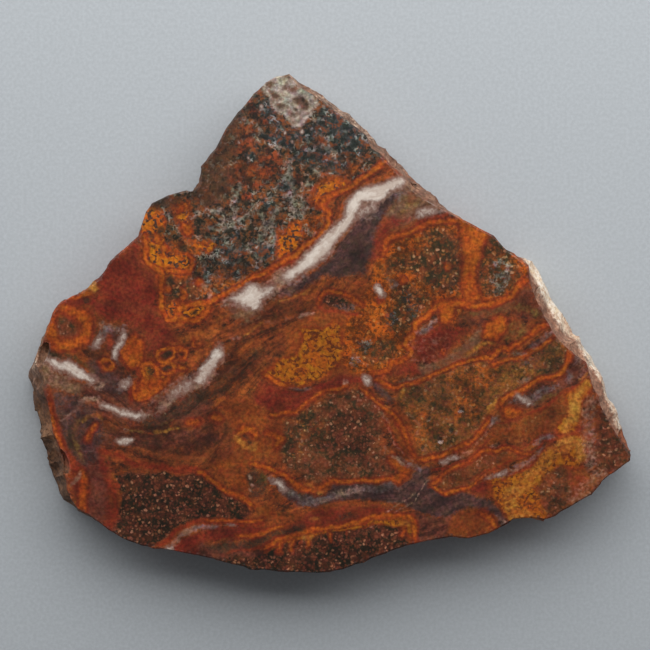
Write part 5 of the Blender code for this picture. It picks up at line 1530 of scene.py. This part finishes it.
@dataclass
class Slab:
    """The polished slab: its face, its broken wall and its sawn underside, as one closed piece."""

    solid: bpy.types.Object
    face_spacing: float = 1.2
    face_edge: float = 0.42
    wall_edge: float = 0.5
    rounds: int = 3
    flat_precision: float = 1e-6
    rim_gap: float = 0.5
    jitter: float = 0.16
    jitter_rate: float = 1.7
    wall_blend: float = 0.5
    wall_start: float = 0.12
    wall_fade: float = 0.4
    base_fade: float = 0.2
    level: float = 0.01
    worn_start: float = 0.05
    sawn_height: float = 0.02
    along_flow: Pair = (0.8, 0.6)
    sheet: PatternSheet = field(default_factory=PatternSheet)
    finish: StoneFinish = field(default_factory=StoneFinish)
    skin: BrokenSkin = field(default_factory=BrokenSkin)

    def build(self) -> bpy.types.Object:
        """Build the slab's mesh and dress it.

        Returns:
            The finished piece, at the origin.
        """
        low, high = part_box(NODE)
        mesh = self.fine_mesh(low.z, high.z)
        self.mark_sides(mesh, low.z, high.z)
        piece = bpy.data.objects.new("polished_slab", mesh)
        bpy.context.scene.collection.objects.link(piece)
        material = self.finish.build()
        broken = self.skin.break_surface(piece, material)
        piece.data = broken
        self.carry_pattern(broken, high.z)
        heights = np.array([vertex.co.z for vertex in broken.vertices])
        for polygon in broken.polygons:
            polygon.use_smooth = bool(heights[list(polygon.vertices)].min() < high.z - SAME_PLACE)
        return piece

    def fine_mesh(self, base: float, top: float) -> bpy.types.Mesh:
        """Make the solid's skin again with small triangles on the face and the wall.

        Args:
            base: Height of the underside, in metres.
            top: Height of the polished face, in metres.

        Returns:
            The closed mesh.
        """
        shape = bmesh.new()
        shape.from_mesh(self.solid.data)
        bmesh.ops.remove_doubles(shape, verts=shape.verts, dist=SAME_PLACE)
        flat = [f for f in shape.faces if abs(f.normal.z) > LEVEL_NORMAL
                and all(min(abs(v.co.z - base), abs(v.co.z - top)) < SAME_PLACE for v in f.verts)]
        bmesh.ops.delete(shape, geom=flat, context="FACES")
        for height in (base, top):
            self.close_flat(shape, height)
        self.refine(shape, top)
        bmesh.ops.recalc_face_normals(shape, faces=shape.faces)
        mesh = bpy.data.meshes.new("polished_slab")
        shape.to_mesh(mesh)
        shape.free()
        return mesh

    def close_flat(self, shape: bmesh.types.BMesh, height: float) -> None:
        """Close the wall's open edge at a height with even triangles.

        Args:
            shape: The wall, open at that height.
            height: The height of the flat side, in metres.
        """
        rim = [e for e in shape.edges
               if e.is_boundary and all(abs(v.co.z - height) < SAME_HEIGHT for v in e.verts)]
        vertices = sorted({v for e in rim for v in e.verts}, key=lambda v: v.index)
        number = {v: index for index, v in enumerate(vertices)}
        places = [Vector((v.co.x, v.co.y)) / MM for v in vertices]
        edges = [(number[e.verts[0]], number[e.verts[1]]) for e in rim]
        spread = places + self.even_places(places, edges)
        made = delaunay_2d_cdt(spread, edges, [], 1, self.flat_precision)
        for place in made[0][len(vertices):]:
            vertices.append(shape.verts.new((place.x * MM, place.y * MM, height)))
        for triangle in made[2]:
            shape.faces.new([vertices[index] for index in triangle])

    def even_places(self, corners: list[Vector], edges: list[tuple[int, int]]) -> list[Vector]:
        """Spread places evenly inside an outline.

        Args:
            corners: The outline's corners, in millimetres.
            edges: Its edges, as pairs of corners.

        Returns:
            The places, none of them close to the outline.
        """
        points = np.array([tuple(corner) for corner in corners])
        low, high = points.min(0), points.max(0)
        rows = np.arange(low[1], high[1], self.face_spacing * math.sqrt(0.75))
        grid = []
        for number, y in enumerate(rows):
            start = low[0] + (number % 2) * self.face_spacing / 2.0
            grid += [(x, y) for x in np.arange(start, high[0], self.face_spacing)]
        spots = np.array(grid)
        inside, nearest = measured(spots, [(points[first], points[second]) for first, second in edges])
        kept = spots[inside & (nearest > self.rim_gap * self.face_spacing)]
        reach = self.jitter * self.face_spacing
        steps = [noise.noise_vector(Vector((x, y, 0.5)) * self.jitter_rate) * reach for x, y in kept]
        return [Vector((x + step.x, y + step.y)) for (x, y), step in zip(kept, steps)]

    def refine(self, shape: bmesh.types.BMesh, top: float) -> None:
        """Halve the long edges of the face and the wall until they are short enough.

        Args:
            shape: The closed skin.
            top: Height of the polished face, in metres.
        """
        for _ in range(self.rounds):
            long_edges = []
            for edge in shape.edges:
                heights = [v.co.z for v in edge.verts]
                if max(heights) < SAME_HEIGHT:
                    continue
                limit = self.face_edge if min(heights) > top - SAME_HEIGHT else self.wall_edge
                if edge.calc_length() > limit * MM:
                    long_edges.append(edge)
            if not long_edges:
                break
            halved = bmesh.ops.subdivide_edges(shape, edges=long_edges, cuts=1, use_single_edge=True,
                                               use_grid_fill=True)
            middles = [part for part in halved["geom_inner"] if isinstance(part, bmesh.types.BMVert)]
            bmesh.ops.connect_verts(shape, verts=middles)
            bmesh.ops.triangulate(shape, faces=[f for f in shape.faces if len(f.verts) > 3])

    def mark_sides(self, mesh: bpy.types.Mesh, base: float, top: float) -> None:
        """Store on each vertex how far it lies on the wall, and how deep a pit sinks it.

        Args:
            mesh: The fine mesh.
            base: Height of the underside, in metres.
            top: Height of the polished face, in metres.
        """
        points = points_of(mesh)
        to_top = (top - points[:, 2]) / MM
        to_base = (points[:, 2] - base) / MM
        depth = np.clip(np.minimum(to_top, to_base) / self.wall_blend, 0.0, 1.0)
        pit = np.zeros(len(points))
        for hollow in PITS:
            centre = np.array((hollow.x, hollow.y)) + np.array(DRAWING_SHIFT)
            away = np.linalg.norm(points[:, :2] / MM - centre, axis=1)
            pit = np.maximum(pit, hollow.depth * np.sqrt(np.clip(1.0 - away / hollow.radius, 0.0, 1.0)))
        pit[to_top > self.level] = 0.0
        store(mesh, "wall_depth", depth)
        store(mesh, "pit", pit)
        below_rim = (to_top - self.wall_start) / self.wall_fade
        wall = np.clip(np.minimum(below_rim, to_base / self.base_fade), 0.0, 1.0)
        corners = np.empty(len(mesh.loops), int)
        mesh.loops.foreach_get("vertex_index", corners)
        sides = corners.reshape(-1, 3)
        worn = wall.copy()
        worn[sides[to_top[sides].max(1) > self.worn_start].ravel()] = 1.0
        store(mesh, "wall", wall)
        store(mesh, "worn", worn * (to_base > self.sawn_height))
        store(mesh, "base", (to_base < self.sawn_height).astype(float))

    def carry_pattern(self, mesh: bpy.types.Mesh, top: float) -> None:
        """Store the depth inside every tint, and the flow, on each vertex.

        Args:
            mesh: The finished mesh.
            top: Height of the polished face, in metres.
        """
        points = points_of(mesh)
        places = self.sheet.drawn_places(points, top)
        for tint, depth in self.sheet.depths(places).items():
            store(mesh, tint.value, depth)
        store(mesh, "flow", self.sheet.flow(places))
        store(mesh, "along", places @ np.array(self.along_flow))


def points_of(mesh: bpy.types.Mesh) -> np.ndarray:
    """Return the places of a mesh's vertices, in metres, one row each."""
    points = np.empty(len(mesh.vertices) * 3)
    mesh.vertices.foreach_get("co", points)
    return points.reshape(-1, 3)


def store(mesh: bpy.types.Mesh, name: str, values: np.ndarray) -> None:
    """Keep one number for each vertex under a name."""
    attribute = mesh.attributes.new(name, "FLOAT", "POINT")
    attribute.data.foreach_set("value", values.astype(np.float32))


@dataclass
class Studio:
    """A plain pale floor, a broad soft light from beyond the top of the slab, and the camera above."""

    floor_size: float = 3.0
    floor_parts: int = 8
    floor_colour: Colour = srgb(176, 181, 185)
    card_grain: float = 0.5
    card_band: Pair = (0.3, 0.75)
    card_gain: float = 1.12
    card_roughness: float = 0.85
    camera_place: Triple = (-0.45, -0.3, 509.0)
    face_height: float = 9.0
    field_width: float = 97.5
    sensor: float = 36.0
    nearest_seen: float = 10.0
    light_place: Triple = (12.0, 205.0, 200.0)
    light_width: float = 820.0
    light_height: float = 320.0
    light_power: float = 2.05
    sky: Colour = (0.95, 0.97, 1.0, 1.0)
    sky_strength: float = 0.14

    def build(self) -> None:
        """Build the floor, the lights and the camera."""
        self.lay_floor()
        self.hang_light()
        self.open_sky()
        self.place_camera()

    def lay_floor(self) -> None:
        """Lay the floor under the slab."""
        shape = bmesh.new()
        bmesh.ops.create_grid(shape, x_segments=self.floor_parts, y_segments=self.floor_parts,
                              size=self.floor_size / 2.0)
        mesh = bpy.data.meshes.new("studio_floor")
        shape.to_mesh(mesh)
        shape.free()
        floor = bpy.data.objects.new("studio_floor", mesh)
        bench = Bench("pale matte card")
        grain = bench.noise(bench.own_place(), self.card_grain, 2.0, 0.6).rise(*self.card_band)
        lighter = tuple(min(1.0, self.card_gain * part) for part in self.floor_colour[:3]) + (1.0,)
        colour = bench.mix(self.floor_colour, lighter, grain)
        mesh.materials.append(bench.surface({"Base Color": colour, "Roughness": self.card_roughness}))
        bpy.context.scene.collection.objects.link(floor)

    def hang_light(self) -> None:
        """Hang the broad light and turn it to the slab."""
        lamp = bpy.data.lights.new("window_light", "AREA")
        lamp.shape = "RECTANGLE"
        lamp.size = self.light_width * MM
        lamp.size_y = self.light_height * MM
        lamp.energy = self.light_power
        holder = bpy.data.objects.new("window_light", lamp)
        holder.location = Vector(self.light_place) * MM
        holder.rotation_euler = (-Vector(self.light_place)).to_track_quat("-Z", "Y").to_euler()
        bpy.context.scene.collection.objects.link(holder)

    def open_sky(self) -> None:
        """Fill the shadows with a dim even sky."""
        world = bpy.data.worlds.new("studio_sky")
        world.use_nodes = True
        ground = world.node_tree.nodes["Background"]
        ground.inputs["Color"].default_value = self.sky
        ground.inputs["Strength"].default_value = self.sky_strength
        bpy.context.scene.world = world
        bpy.context.scene.view_settings.view_transform = "Standard"

    def place_camera(self) -> None:
        """Hold the camera straight above the slab, with +Y to the top of the picture."""
        camera = bpy.data.cameras.new("camera")
        camera.sensor_width = self.sensor
        camera.lens = self.sensor * (self.camera_place[2] - self.face_height) / self.field_width
        camera.clip_start = self.nearest_seen * MM
        holder = bpy.data.objects.new("camera", camera)
        holder.location = Vector(self.camera_place) * MM
        bpy.context.scene.collection.objects.link(holder)
        bpy.context.scene.camera = holder


def main() -> None:
    """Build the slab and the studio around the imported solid."""
    logging.basicConfig(level=logging.INFO, format="%(name)s: %(message)s")
    noise.seed_set(NOISE_SEED)
    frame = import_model()
    slab = Slab(frame["nodes"][NODE]).build()
    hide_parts(NODE)
    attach(slab, "root")
    log.info("%s: %d triangles", slab.name, len(slab.data.polygons))
    Studio().build()
    log.info("studio: floor, light and camera")


if __name__ == "__main__":
    main()
